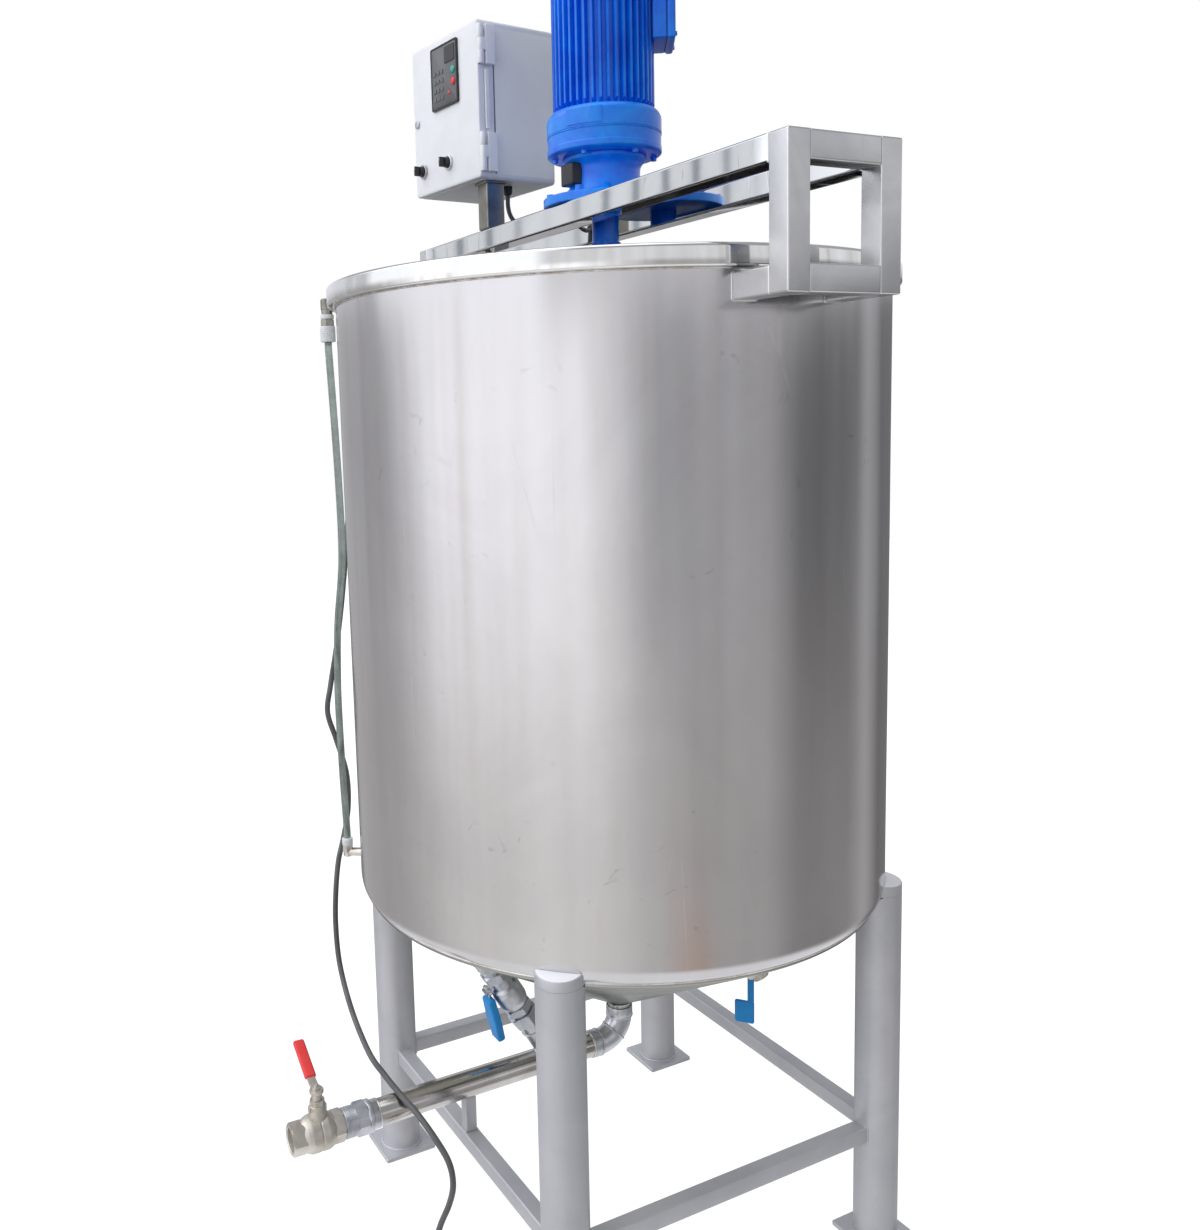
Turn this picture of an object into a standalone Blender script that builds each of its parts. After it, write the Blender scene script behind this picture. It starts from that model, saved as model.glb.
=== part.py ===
# Chemical mixing tank of stainless steel on four pipe legs, with a geared agitator on a
# bridge, a control box, a level gauge and a bottom drain.
# Units are metres, +Z is up, and the floor is at Z = 0. The bridge runs along Y and the
# drain pipe along -X.

import math

import bmesh
import bpy
from mathutils import Matrix, Vector

# Driving dimensions of the vessel
TANK_RADIUS = 0.500
WALL_THICKNESS = 0.003
WALL_BOTTOM = 0.6865
RIM_BOTTOM = 1.769
RIM_TOP = 1.802
RIM_RADIUS = 0.515
CONE_DEPTH = 0.285
OUTLET_RADIUS = 0.024
GAP = 0.0003

# Driving dimensions of the stand
LEG_X = 0.340
LEG_Y = 0.352
LEG_RADIUS = 0.040
LEG_CAP_HIGH = 0.704
LEG_CAP_SLOPE = 0.08
FOOT_SIDE = 0.112
FOOT_THICKNESS = 0.008
BRACE_SIDE = 0.030
BRACE_TOP = 0.234

# Driving dimensions of the bridge
TUBE = 0.040
BRIDGE_HALF_WIDTH = 0.105
BRIDGE_HALF_LENGTH = 0.607
BRIDGE_TOP = 1.939
BRIDGE_FOOT = 1.722

# Driving dimensions of the drive
MOUNT_FLANGE_RADIUS = 0.113
MOUNT_FLANGE_THICKNESS = 0.016
NECK_RADIUS = 0.064
GEARBOX_RADIUS = 0.104
GEARBOX_BOTTOM = 2.026
GEARBOX_TOP = 2.104
MOTOR_RADIUS = 0.0845
MOTOR_FIN = 0.0075
MOTOR_FINS = 32
MOTOR_TOP = 2.386
FAN_COVER_TOP = 2.468
COUPLING_RADIUS = 0.030
SHAFT_RADIUS = 0.0175
SHAFT_BOTTOM = 0.720
IMPELLER_Z = 0.800
IMPELLER_RADIUS = 0.190

# Driving dimensions of the drain
DRAIN_RADIUS = 0.024
DRAIN_Z = 0.324
BEND_RADIUS = 0.050
PIPE_END_X = -0.524
VALVE_X = -0.634
VALVE_END_X = -0.686
VALVE_RADIUS = 0.033
LEVER_Z = 0.398

# Driving dimensions of the control box
BOX_CENTRE = (-0.044, 0.382)
BOX_TURN = math.radians(6)
BOX_WIDTH = 0.250
BOX_DEPTH = 0.170
BOX_BOTTOM = 2.032
BOX_HEIGHT = 0.300
BOX_WALL = 0.004
DOOR_THICKNESS = 0.014
POST_CENTRE = (-0.085, 0.288)

# The vessel's axis stands off the origin, because the drain reaches further than the rim
AXIS_X = (-VALVE_END_X - RIM_RADIUS) / 2

SMOOTH_ANGLE = math.radians(35)


def clear_scene():
    for obj in list(bpy.data.objects):
        bpy.data.objects.remove(obj, do_unlink=True)


def material(name, colour, roughness, metallic):
    made = bpy.data.materials.new(name)
    made.use_nodes = True
    shader = made.node_tree.nodes["Principled BSDF"]
    shader.inputs["Base Color"].default_value = (*colour, 1.0)
    shader.inputs["Roughness"].default_value = roughness
    shader.inputs["Metallic"].default_value = metallic
    return made


def empty(name, location, turn=0.0, parent=None):
    made = bpy.data.objects.new(name, None)
    made.location = location
    made.rotation_euler = (0.0, 0.0, turn)
    made.parent = parent
    bpy.context.scene.collection.objects.link(made)
    return made


def node(name, mesh, parent, colour, smooth=False):
    """One named object of the assembly, with a material of its own."""
    made = bpy.data.objects.new(name, mesh)
    made.parent = parent
    mesh.materials.clear()
    mesh.materials.append(material(name, *colour))
    if smooth:
        mesh.shade_smooth()
        mesh.set_sharp_from_angle(angle=SMOOTH_ANGLE)
    bpy.context.scene.collection.objects.link(made)
    return made


def mesh_of(build):
    """A mesh from a bmesh, with its faces turned outwards."""
    bmesh.ops.recalc_face_normals(build, faces=build.faces)
    made = bpy.data.meshes.new("shape")
    build.to_mesh(made)
    build.free()
    return made


def turned(profile, steps, start=0.0, sweep=2 * math.pi):
    """Solid of revolution about Z of a closed outline of (radius, height) points.

    Points at radius 0 become one vertex. A sweep short of a full turn is closed by two flat ends.
    """
    full = sweep > 2 * math.pi - 1e-6
    rings = steps if full else steps + 1
    build = bmesh.new()
    columns = []
    for radius, height in profile:
        if radius < 1e-9:
            columns.append([build.verts.new((0.0, 0.0, height))] * rings)
            continue
        column = []
        for step in range(rings):
            angle = start + sweep * step / steps
            column.append(build.verts.new((radius * math.cos(angle), radius * math.sin(angle), height)))
        columns.append(column)
    for here in range(len(columns)):
        low, high = columns[here - 1], columns[here]
        for step in range(steps):
            after = (step + 1) % rings
            corners = [low[step], low[after], high[after], high[step]]
            corners = list(dict.fromkeys(corners))
            if len(corners) > 2:
                build.faces.new(corners)
    if not full:
        for step in (0, rings - 1):
            build.faces.new(list(dict.fromkeys(column[step] for column in columns)))
    return mesh_of(build)


def solid_turned(profile, steps):
    """Solid of revolution of an outline that starts and ends on the axis."""
    (_, low), (_, high) = profile[0], profile[-1]
    build = bmesh.new()
    rings = []
    for radius, height in profile:
        if radius < 1e-9:
            rings.append([build.verts.new((0.0, 0.0, height))])
            continue
        ring = []
        for step in range(steps):
            angle = 2 * math.pi * step / steps
            ring.append(build.verts.new((radius * math.cos(angle), radius * math.sin(angle), height)))
        rings.append(ring)
    for low_ring, high_ring in zip(rings, rings[1:]):
        for step in range(steps):
            after = (step + 1) % steps
            corners = [
                low_ring[step % len(low_ring)],
                low_ring[after % len(low_ring)],
                high_ring[after % len(high_ring)],
                high_ring[step % len(high_ring)],
            ]
            corners = list(dict.fromkeys(corners))
            if len(corners) > 2:
                build.faces.new(corners)
    return mesh_of(build)


def barrel(radius, low, high, steps, edge=0.0):
    """Solid cylinder about Z with small bevelled rims."""
    if edge <= 0:
        return solid_turned([(0, low), (radius, low), (radius, high), (0, high)], steps)
    return solid_turned(
        [(0, low), (radius - edge, low), (radius, low + edge), (radius, high - edge), (radius - edge, high), (0, high)],
        steps,
    )


def block(low, high):
    """Rectangular solid between two corners."""
    build = bmesh.new()
    bmesh.ops.create_cube(build, size=1.0)
    size = Vector(high) - Vector(low)
    middle = (Vector(high) + Vector(low)) / 2
    bmesh.ops.scale(build, vec=size, verts=build.verts)
    bmesh.ops.translate(build, vec=middle, verts=build.verts)
    return mesh_of(build)


def soft_block(low, high, edge):
    """Rectangular solid with every edge chamfered."""
    build = bmesh.new()
    build.from_mesh(block(low, high))
    bmesh.ops.bevel(build, geom=build.edges[:], offset=edge, segments=1, affect="EDGES")
    return mesh_of(build)


def along(mesh, direction, origin):
    """Turns a mesh made about Z so that its axis points along a direction from an origin."""
    turn = Vector((0, 0, 1)).rotation_difference(Vector(direction)).to_matrix().to_4x4()
    mesh.transform(Matrix.Translation(Vector(origin)) @ turn)
    return mesh


def swept(points, radius, sides):
    """Round bar along a path of points, with flat ends. Its rings keep one upright as the path turns."""
    build = bmesh.new()
    path = [Vector(point) for point in points]
    side = None
    rings = []
    for here, point in enumerate(path):
        before = path[max(here - 1, 0)]
        after = path[min(here + 1, len(path) - 1)]
        forward = (after - before).normalized()
        if side is None:
            side = forward.orthogonal().normalized()
        side = (side - forward * side.dot(forward)).normalized()
        up = forward.cross(side)
        ring = []
        for step in range(sides):
            angle = 2 * math.pi * step / sides
            ring.append(build.verts.new(point + (side * math.cos(angle) + up * math.sin(angle)) * radius))
        rings.append(ring)
    for low, high in zip(rings, rings[1:]):
        for step in range(sides):
            after = (step + 1) % sides
            build.faces.new([low[step], low[after], high[after], high[step]])
    build.faces.new(rings[0])
    build.faces.new(rings[-1])
    return mesh_of(build)


def smooth_path(points, spacing):
    """Points about a spacing apart on the Catmull-Rom curve through the given points."""
    knots = [Vector(point) for point in points]
    knots = [2 * knots[0] - knots[1]] + knots + [2 * knots[-1] - knots[-2]]
    path = [knots[1]]
    for here in range(1, len(knots) - 2):
        a, b, c, d = knots[here - 1 : here + 3]
        pieces = max(1, round((c - b).length / spacing))
        for piece in range(1, pieces + 1):
            t = piece / pieces
            path.append(
                0.5 * (2 * b + (c - a) * t + (2 * a - 5 * b + 4 * c - d) * t * t + (3 * b - a - 3 * c + d) * t**3)
            )
    return path


def modify(obj, operation, other):
    """Adds a Boolean of one object with a helper, which is left out of the render."""
    other.hide_render = True
    other.display_type = "WIRE"
    change = obj.modifiers.new(operation.lower(), "BOOLEAN")
    change.operation = operation
    change.solver = "EXACT"
    change.object = other


def helper(name, mesh, parent):
    made = bpy.data.objects.new(name, mesh)
    made.parent = parent
    made.hide_render = True
    made.display_type = "WIRE"
    bpy.context.scene.collection.objects.link(made)
    return made


STAINLESS = ((0.62, 0.61, 0.60), 0.38, 1.0)
POLISHED = ((0.72, 0.72, 0.71), 0.15, 1.0)
SILVER_PAINT = ((0.55, 0.56, 0.57), 0.45, 0.6)
BLUE_PAINT = ((0.01, 0.10, 0.62), 0.3, 0.0)
BLUE_GRIP = ((0.02, 0.25, 0.62), 0.45, 0.0)
RED_GRIP = ((0.75, 0.05, 0.04), 0.45, 0.0)
CAST_STEEL = ((0.55, 0.53, 0.50), 0.42, 1.0)
BOX_GREY = ((0.72, 0.74, 0.75), 0.4, 0.0)
BLACK = ((0.02, 0.02, 0.022), 0.4, 0.0)
CLEAR_HOSE = ((0.75, 0.80, 0.80), 0.2, 0.0)
CABLE_GREY = ((0.10, 0.10, 0.11), 0.5, 0.0)

WALL_STEPS = 24
ROUND_STEPS = 96
LEG_STEPS = 24
PIPE_STEPS = 20
QUARTERS = {"front": -90, "right": 0, "back": 90, "left": 180}
LEG_PLACES = {
    "front_left": (-LEG_X, -LEG_Y),
    "front_right": (LEG_X, -LEG_Y),
    "back_left": (-LEG_X, LEG_Y),
    "back_right": (LEG_X, LEG_Y),
}


def cone_height(radius):
    """Height of the cone's outer face at a radius."""
    slope = CONE_DEPTH / (TANK_RADIUS - OUTLET_RADIUS)
    return WALL_BOTTOM - (TANK_RADIUS - radius) * slope


CONE_SLOPE = math.atan(CONE_DEPTH / (TANK_RADIUS - OUTLET_RADIUS))
CONE_BOTTOM = WALL_BOTTOM - CONE_DEPTH


def make_wall(tank):
    """The rolled shell, as four quarter plates that meet above the legs."""
    inner = TANK_RADIUS - WALL_THICKNESS
    sliver = GAP / TANK_RADIUS
    outline = [
        (inner, WALL_BOTTOM),
        (TANK_RADIUS - WALL_THICKNESS / 3, WALL_BOTTOM),
        (TANK_RADIUS, WALL_BOTTOM + WALL_THICKNESS / 3),
        (TANK_RADIUS, RIM_TOP - GAP),
        (inner, RIM_TOP - GAP),
    ]
    for name, middle in QUARTERS.items():
        start = math.radians(middle - 45) + sliver / 2
        mesh = turned(outline, WALL_STEPS, start, math.pi / 2 - sliver)
        node("tank_wall_" + name, mesh, tank, STAINLESS, smooth=True)


def make_rim(tank):
    """The polished flat-bar ring around the mouth, with a shallow turned-over lip."""
    inner = TANK_RADIUS + GAP
    outline = [
        (inner, RIM_BOTTOM),
        (RIM_RADIUS - 0.003, RIM_BOTTOM),
        (RIM_RADIUS, RIM_BOTTOM + 0.003),
        (RIM_RADIUS, RIM_TOP - 0.004),
        (RIM_RADIUS - 0.004, RIM_TOP),
        (inner, RIM_TOP),
    ]
    node("tank_rim", turned(outline, ROUND_STEPS), tank, POLISHED, smooth=True)


def make_cone(tank):
    """The conical bottom, a thin shell that ends in the outlet's neck."""
    outer = TANK_RADIUS
    thick = WALL_THICKNESS / math.cos(CONE_SLOPE)
    top = WALL_BOTTOM - GAP
    neck = OUTLET_RADIUS - WALL_THICKNESS
    outline = [
        (outer - WALL_THICKNESS, top),
        (outer - 0.0005, top),
        (outer - 0.0012, cone_height(outer - 0.0012) - GAP),
        (OUTLET_RADIUS, cone_height(OUTLET_RADIUS) - GAP),
        (OUTLET_RADIUS, CONE_BOTTOM - 0.010),
        (neck, CONE_BOTTOM - 0.010),
        (neck, cone_height(neck) + thick),
        (outer - WALL_THICKNESS - 0.004, cone_height(outer - 0.004) + thick - 0.004),
    ]
    node("tank_cone", turned(outline, ROUND_STEPS), tank, STAINLESS, smooth=True)


def leg_mesh(place):
    """A pipe leg from its foot plate up to a cap that slopes down and away from the tank."""
    x, y = place
    outward = Vector((x, y)).normalized()
    reach = Vector((x, y)).length
    build = bmesh.new()
    low, high = [], []
    for step in range(LEG_STEPS):
        angle = 2 * math.pi * step / LEG_STEPS
        offset = Vector((math.cos(angle), math.sin(angle))) * LEG_RADIUS
        out = offset.dot(outward) - (TANK_RADIUS - reach)
        low.append(build.verts.new((x + offset.x, y + offset.y, FOOT_THICKNESS - 0.002)))
        high.append(build.verts.new((x + offset.x, y + offset.y, LEG_CAP_HIGH - LEG_CAP_SLOPE * out)))
    for step in range(LEG_STEPS):
        after = (step + 1) % LEG_STEPS
        build.faces.new([low[step], low[after], high[after], high[step]])
    build.faces.new(low)
    build.faces.new(high)
    return mesh_of(build)


def make_legs(tank):
    """Four legs, each welded to a square foot plate and cut to the wall and cone that it carries."""
    clear = TANK_RADIUS + GAP
    cutter_outline = [
        (0, CONE_BOTTOM - 2 * GAP),
        (OUTLET_RADIUS, CONE_BOTTOM - 2 * GAP),
        (clear, WALL_BOTTOM - 3 * GAP),
        (clear, 1.0),
        (0, 1.0),
    ]
    cutter = helper("tank_cutter", solid_turned(cutter_outline, ROUND_STEPS), tank)
    half = FOOT_SIDE / 2
    for name, (x, y) in LEG_PLACES.items():
        leg = node("leg_" + name, leg_mesh((x, y)), tank, SILVER_PAINT, smooth=True)
        plate = soft_block((x - half, y - half, 0.0), (x + half, y + half, FOOT_THICKNESS), 0.001)
        modify(leg, "DIFFERENCE", cutter)
        modify(leg, "UNION", helper("plate_" + name, plate, tank))


def make_braces(tank):
    """Square tubes that tie the legs at one height, coped to the round legs."""
    half = BRACE_SIDE / 2
    reach = 0.010
    low, high = BRACE_TOP - BRACE_SIDE, BRACE_TOP
    spans = {
        "front": ((-LEG_X + reach, -LEG_Y - half), (LEG_X - reach, -LEG_Y + half)),
        "back": ((-LEG_X + reach, LEG_Y - half), (LEG_X - reach, LEG_Y + half)),
        "left": ((-LEG_X - half, -LEG_Y + reach), (-LEG_X + half, LEG_Y - reach)),
        "right": ((LEG_X - half, -LEG_Y + reach), (LEG_X + half, LEG_Y - reach)),
    }
    build = bmesh.new()
    for x, y in LEG_PLACES.values():
        pillar = barrel(LEG_RADIUS + GAP, low - 0.02, high + 0.02, LEG_STEPS)
        pillar.transform(Matrix.Translation((x, y, 0)))
        build.from_mesh(pillar)
    cope = helper("leg_cutter", mesh_of(build), tank)
    for name, (start, end) in spans.items():
        brace = node("brace_" + name, soft_block((*start, low), (*end, high), 0.0015), tank, SILVER_PAINT)
        modify(brace, "DIFFERENCE", cope)


def make_bridge(tank):
    """Two long tubes over the mouth, carried at each end by a welded frame outside the rim."""
    inner = BRIDGE_HALF_WIDTH - TUBE
    beam_end = BRIDGE_HALF_LENGTH - TUBE - GAP
    low = BRIDGE_TOP - TUBE
    for name, side in (("left", -1), ("right", 1)):
        near, far = sorted((side * inner, side * BRIDGE_HALF_WIDTH))
        mesh = soft_block((near, -beam_end, low), (far, beam_end, BRIDGE_TOP), 0.0015)
        node("bridge_beam_" + name, mesh, tank, POLISHED)
    for name, side in (("front", -1), ("back", 1)):
        make_end_frame(name, side, tank)


def make_end_frame(name, side, tank):
    """Posts, rails and the arms that stand off the tank wall, as one welded frame."""
    outside = BRIDGE_HALF_LENGTH
    inside = BRIDGE_HALF_LENGTH - TUBE
    width = BRIDGE_HALF_WIDTH
    arm_end = TANK_RADIUS - 0.020
    pieces = [
        ((-width, inside, BRIDGE_FOOT), (-width + TUBE, outside, BRIDGE_TOP)),
        ((width - TUBE, inside, BRIDGE_FOOT), (width, outside, BRIDGE_TOP)),
        ((-width + TUBE / 2, inside, BRIDGE_TOP - TUBE), (width - TUBE / 2, outside, BRIDGE_TOP)),
        ((-width + TUBE / 2, inside, BRIDGE_FOOT), (width - TUBE / 2, outside, BRIDGE_FOOT + TUBE)),
        ((-width, arm_end, BRIDGE_FOOT), (-width + TUBE, outside - TUBE / 2, BRIDGE_FOOT + TUBE)),
        ((width - TUBE, arm_end, BRIDGE_FOOT), (width, outside - TUBE / 2, BRIDGE_FOOT + TUBE)),
    ]
    meshes = []
    for low, high in pieces:
        ends = sorted((side * low[1], side * high[1]))
        meshes.append(block((low[0], ends[0], low[2]), (high[0], ends[1], high[2])))
    frame = node("bridge_frame_" + name, meshes[0], tank, POLISHED)
    for index, mesh in enumerate(meshes[1:]):
        modify(frame, "UNION", helper(f"frame_{name}_{index}", mesh, tank))
    mouth = barrel(TANK_RADIUS + GAP, 1.0, RIM_BOTTOM - 0.004, ROUND_STEPS)
    modify(frame, "DIFFERENCE", helper("mouth_cutter_" + name, mouth, tank))
    ring = barrel(RIM_RADIUS + GAP, RIM_BOTTOM - GAP, RIM_TOP + GAP, ROUND_STEPS)
    modify(frame, "DIFFERENCE", helper("rim_cutter_" + name, ring, tank))


def make_drive(tank):
    """Gearmotor on the bridge: mounting flange and neck, gearbox, finned motor and fan cover."""
    base = BRIDGE_TOP + GAP
    flange_top = base + MOUNT_FLANGE_THICKNESS
    mount = [
        (0, base),
        (MOUNT_FLANGE_RADIUS - 0.002, base),
        (MOUNT_FLANGE_RADIUS, base + 0.002),
        (MOUNT_FLANGE_RADIUS, flange_top - 0.002),
        (MOUNT_FLANGE_RADIUS - 0.002, flange_top),
        (NECK_RADIUS + 0.010, flange_top),
        (NECK_RADIUS, flange_top + 0.010),
        (NECK_RADIUS, GEARBOX_BOTTOM - 0.012),
        (NECK_RADIUS + 0.012, GEARBOX_BOTTOM - GAP),
        (0, GEARBOX_BOTTOM - GAP),
    ]
    node("drive_mount", solid_turned(mount, 48), tank, BLUE_PAINT, smooth=True)
    split = GEARBOX_BOTTOM + 0.036
    gearbox = [
        (0, GEARBOX_BOTTOM),
        (GEARBOX_RADIUS - 0.006, GEARBOX_BOTTOM),
        (GEARBOX_RADIUS, GEARBOX_BOTTOM + 0.006),
        (GEARBOX_RADIUS, split - 0.0015),
        (GEARBOX_RADIUS - 0.002, split - 0.0015),
        (GEARBOX_RADIUS - 0.002, split + 0.0015),
        (GEARBOX_RADIUS, split + 0.0015),
        (GEARBOX_RADIUS, GEARBOX_TOP - 0.008),
        (GEARBOX_RADIUS - 0.008, GEARBOX_TOP),
        (0, GEARBOX_TOP),
    ]
    node("gearbox", solid_turned(gearbox, 48), tank, BLUE_PAINT, smooth=True)
    make_motor(tank)
    cover = [
        (0, MOTOR_TOP + GAP),
        (MOTOR_RADIUS + 0.006, MOTOR_TOP + GAP),
        (MOTOR_RADIUS + 0.006, FAN_COVER_TOP - 0.020),
        (MOTOR_RADIUS - 0.012, FAN_COVER_TOP),
        (0, FAN_COVER_TOP),
    ]
    node("fan_cover", solid_turned(cover, 48), tank, BLUE_PAINT, smooth=True)


MOTOR_ENTRY_AIM = Vector((math.sin(math.radians(33)), math.cos(math.radians(33)), 0.0))
MOTOR_ENTRY = Vector((
    (MOTOR_RADIUS + MOTOR_FIN + 0.018) * math.cos(math.radians(33)) + 0.050 * MOTOR_ENTRY_AIM.x,
    -(MOTOR_RADIUS + MOTOR_FIN + 0.018) * math.sin(math.radians(33)) + 0.050 * MOTOR_ENTRY_AIM.y,
    2.285,
))


def make_motor(tank):
    """The motor's body as one outline of fins and valleys, drawn up, between two plain end rings."""
    low = GEARBOX_TOP + GAP
    build = bmesh.new()
    rings = []
    plain = 0.012
    levels = [(low, 0.0), (low + plain, 0.0), (low + plain + 0.002, 1.0), (MOTOR_TOP - plain - 0.002, 1.0)]
    levels += [(MOTOR_TOP - plain, 0.0), (MOTOR_TOP, 0.0)]
    for height, depth in levels:
        ring = []
        for fin in range(MOTOR_FINS):
            for share, raised in ((0.0, 1), (0.30, 1), (0.42, 0), (0.88, 0)):
                angle = 2 * math.pi * (fin + share) / MOTOR_FINS
                fin_reach = MOTOR_FIN if raised else MOTOR_FIN * (1 - depth)
                radius = MOTOR_RADIUS + fin_reach
                ring.append(build.verts.new((radius * math.cos(angle), radius * math.sin(angle), height)))
        rings.append(ring)
    count = len(rings[0])
    for lower, upper in zip(rings, rings[1:]):
        for step in range(count):
            after = (step + 1) % count
            build.faces.new([lower[step], lower[after], upper[after], upper[step]])
    build.faces.new(rings[0])
    build.faces.new(rings[-1])
    node("motor", mesh_of(build), tank, BLUE_PAINT)
    aim = math.radians(-33)
    near = MOTOR_RADIUS + MOTOR_FIN + GAP
    box = soft_block((near, -0.050, 2.215), (near + 0.036, 0.050, 2.330), 0.004)
    box.transform(Matrix.Rotation(aim, 4, "Z"))
    terminal_box = node("terminal_box", box, tank, BLUE_PAINT)
    entry = along(barrel(0.010, -0.002, 0.018, 12), MOTOR_ENTRY_AIM, MOTOR_ENTRY)
    modify(terminal_box, "UNION", helper("motor_entry", entry, tank))


def make_agitator(tank):
    """Coupling, shaft and a four-bladed impeller that turn together on the vessel's axis."""
    turner = empty("agitator_axis", (0, 0, 0), parent=tank)
    coupling_low, coupling_high = 1.800, BRIDGE_TOP
    shaft = [
        (0, SHAFT_BOTTOM),
        (SHAFT_RADIUS, SHAFT_BOTTOM),
        (SHAFT_RADIUS, coupling_low),
        (COUPLING_RADIUS - 0.002, coupling_low),
        (COUPLING_RADIUS, coupling_low + 0.002),
        (COUPLING_RADIUS, coupling_high - 0.002),
        (COUPLING_RADIUS - 0.002, coupling_high),
        (0, coupling_high),
    ]
    node("agitator_shaft", solid_turned(shaft, 32), turner, POLISHED, smooth=True)
    hub = turned(
        [
            (SHAFT_RADIUS + GAP, IMPELLER_Z - 0.030),
            (SHAFT_RADIUS + 0.014, IMPELLER_Z - 0.030),
            (SHAFT_RADIUS + 0.014, IMPELLER_Z + 0.030),
            (SHAFT_RADIUS + GAP, IMPELLER_Z + 0.030),
        ],
        32,
    )
    impeller = node("agitator_impeller", hub, turner, STAINLESS)
    for blade in range(4):
        plate = block((SHAFT_RADIUS + 0.008, -0.030, -0.002), (IMPELLER_RADIUS, 0.030, 0.002))
        plate.transform(Matrix.Rotation(math.radians(45), 4, "X"))
        plate.transform(Matrix.Rotation(math.radians(90 * blade), 4, "Z"))
        plate.transform(Matrix.Translation((0, 0, IMPELLER_Z)))
        modify(impeller, "UNION", helper(f"blade_{blade}", plate, turner))


def make_drain(tank):
    """Outlet bend under the cone and the drain pipe that runs out to the left."""
    top = CONE_BOTTOM - 0.010 - GAP
    bend = []
    for step in range(9):
        angle = math.radians(90) * step / 8
        bend.append((-BEND_RADIUS * (1 - math.cos(angle)), 0.0, DRAIN_Z + BEND_RADIUS * (1 - math.sin(angle))))
    path = [(0.0, 0.0, top), *bend, (-BEND_RADIUS - 0.020, 0.0, DRAIN_Z)]
    node("outlet_bend", swept(path, DRAIN_RADIUS + 0.002, PIPE_STEPS), tank, STAINLESS, smooth=True)
    start = -BEND_RADIUS - 0.020 - GAP
    pipe = along(barrel(DRAIN_RADIUS, 0.0, start - PIPE_END_X, PIPE_STEPS), (-1, 0, 0), (start, 0, DRAIN_Z))
    node("drain_pipe", pipe, tank, POLISHED, smooth=True)
    union_end = VALVE_X + 0.044
    union = barrel(DRAIN_RADIUS + 0.006, 0.0, PIPE_END_X - GAP - union_end, PIPE_STEPS, edge=0.003)
    node("drain_union", along(union, (-1, 0, 0), (PIPE_END_X - GAP, 0, DRAIN_Z)), tank, STAINLESS, smooth=True)
    make_pipe_prop(tank)
    make_drain_valve(tank, union_end - GAP)


def make_pipe_prop(tank):
    """Square strut that stands on the left brace and carries the drain pipe in a round notch."""
    low = BRACE_TOP + GAP
    strut = block((-LEG_X - 0.011, -0.011, low), (-LEG_X + 0.011, 0.011, DRAIN_Z - 0.012))
    prop = node("pipe_prop", strut, tank, SILVER_PAINT)
    notch = along(barrel(DRAIN_RADIUS + GAP, -0.03, 0.03, PIPE_STEPS), (-1, 0, 0), (-LEG_X, 0, DRAIN_Z))
    modify(prop, "DIFFERENCE", helper("prop_notch", notch, tank))


def make_drain_valve(tank, near):
    """Two-piece ball valve with hexagon ends and an open mouth, and its quarter-turn lever."""
    length = near - VALVE_END_X
    body = turned(
        [
            (0.0, 0.0),
            (0.029, 0.0),
            (0.029, 0.018),
            (VALVE_RADIUS, 0.024),
            (VALVE_RADIUS, length - 0.030),
            (0.029, length - 0.022),
            (0.029, length),
            (0.020, length),
            (0.020, length - 0.022),
            (0.0, length - 0.022),
        ],
        24,
    )
    valve = node("drain_valve", along(body, (-1, 0, 0), (near, 0, DRAIN_Z)), tank, CAST_STEEL, smooth=True)
    stem_top = LEVER_Z - GAP
    bonnet = solid_turned(
        [
            (0, DRAIN_Z + 0.020),
            (0.017, DRAIN_Z + 0.020),
            (0.017, DRAIN_Z + 0.050),
            (0.010, DRAIN_Z + 0.054),
            (0.010, stem_top),
            (0, stem_top),
        ],
        16,
    )
    bonnet.transform(Matrix.Translation((VALVE_X, 0, 0)))
    modify(valve, "UNION", helper("valve_bonnet", bonnet, tank))
    pivot = empty("drain_lever_axis", (VALVE_X, 0, LEVER_Z), parent=tank)
    hub = barrel(0.013, 0.0, 0.008, 16)
    lever = node("drain_lever", hub, pivot, RED_GRIP)
    arm = block((-0.008, 0.0, 0.0015), (0.008, 0.060, 0.0065))
    grip = soft_block((-0.010, 0.0, -0.005), (0.010, 0.100, 0.005), 0.003)
    grip.transform(Matrix.Translation((0, 0.030, 0.006)) @ Matrix.Rotation(math.radians(14), 4, "X"))
    modify(lever, "UNION", helper("lever_arm", arm, pivot))
    modify(lever, "UNION", helper("lever_grip", grip, pivot))
    pivot.rotation_euler = (0, 0, math.radians(-4))


BRANCH_AIM = Vector((math.sin(CONE_SLOPE), 0.0, -math.cos(CONE_SLOPE)))
BRANCH_SIDE = Vector((-math.cos(CONE_SLOPE), 0.0, -math.sin(CONE_SLOPE)))
BRANCH_RADIUS = 0.021
BRANCH_START_R = 0.300
BRANCH_SEAT = (0.064, 0.0265)


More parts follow.
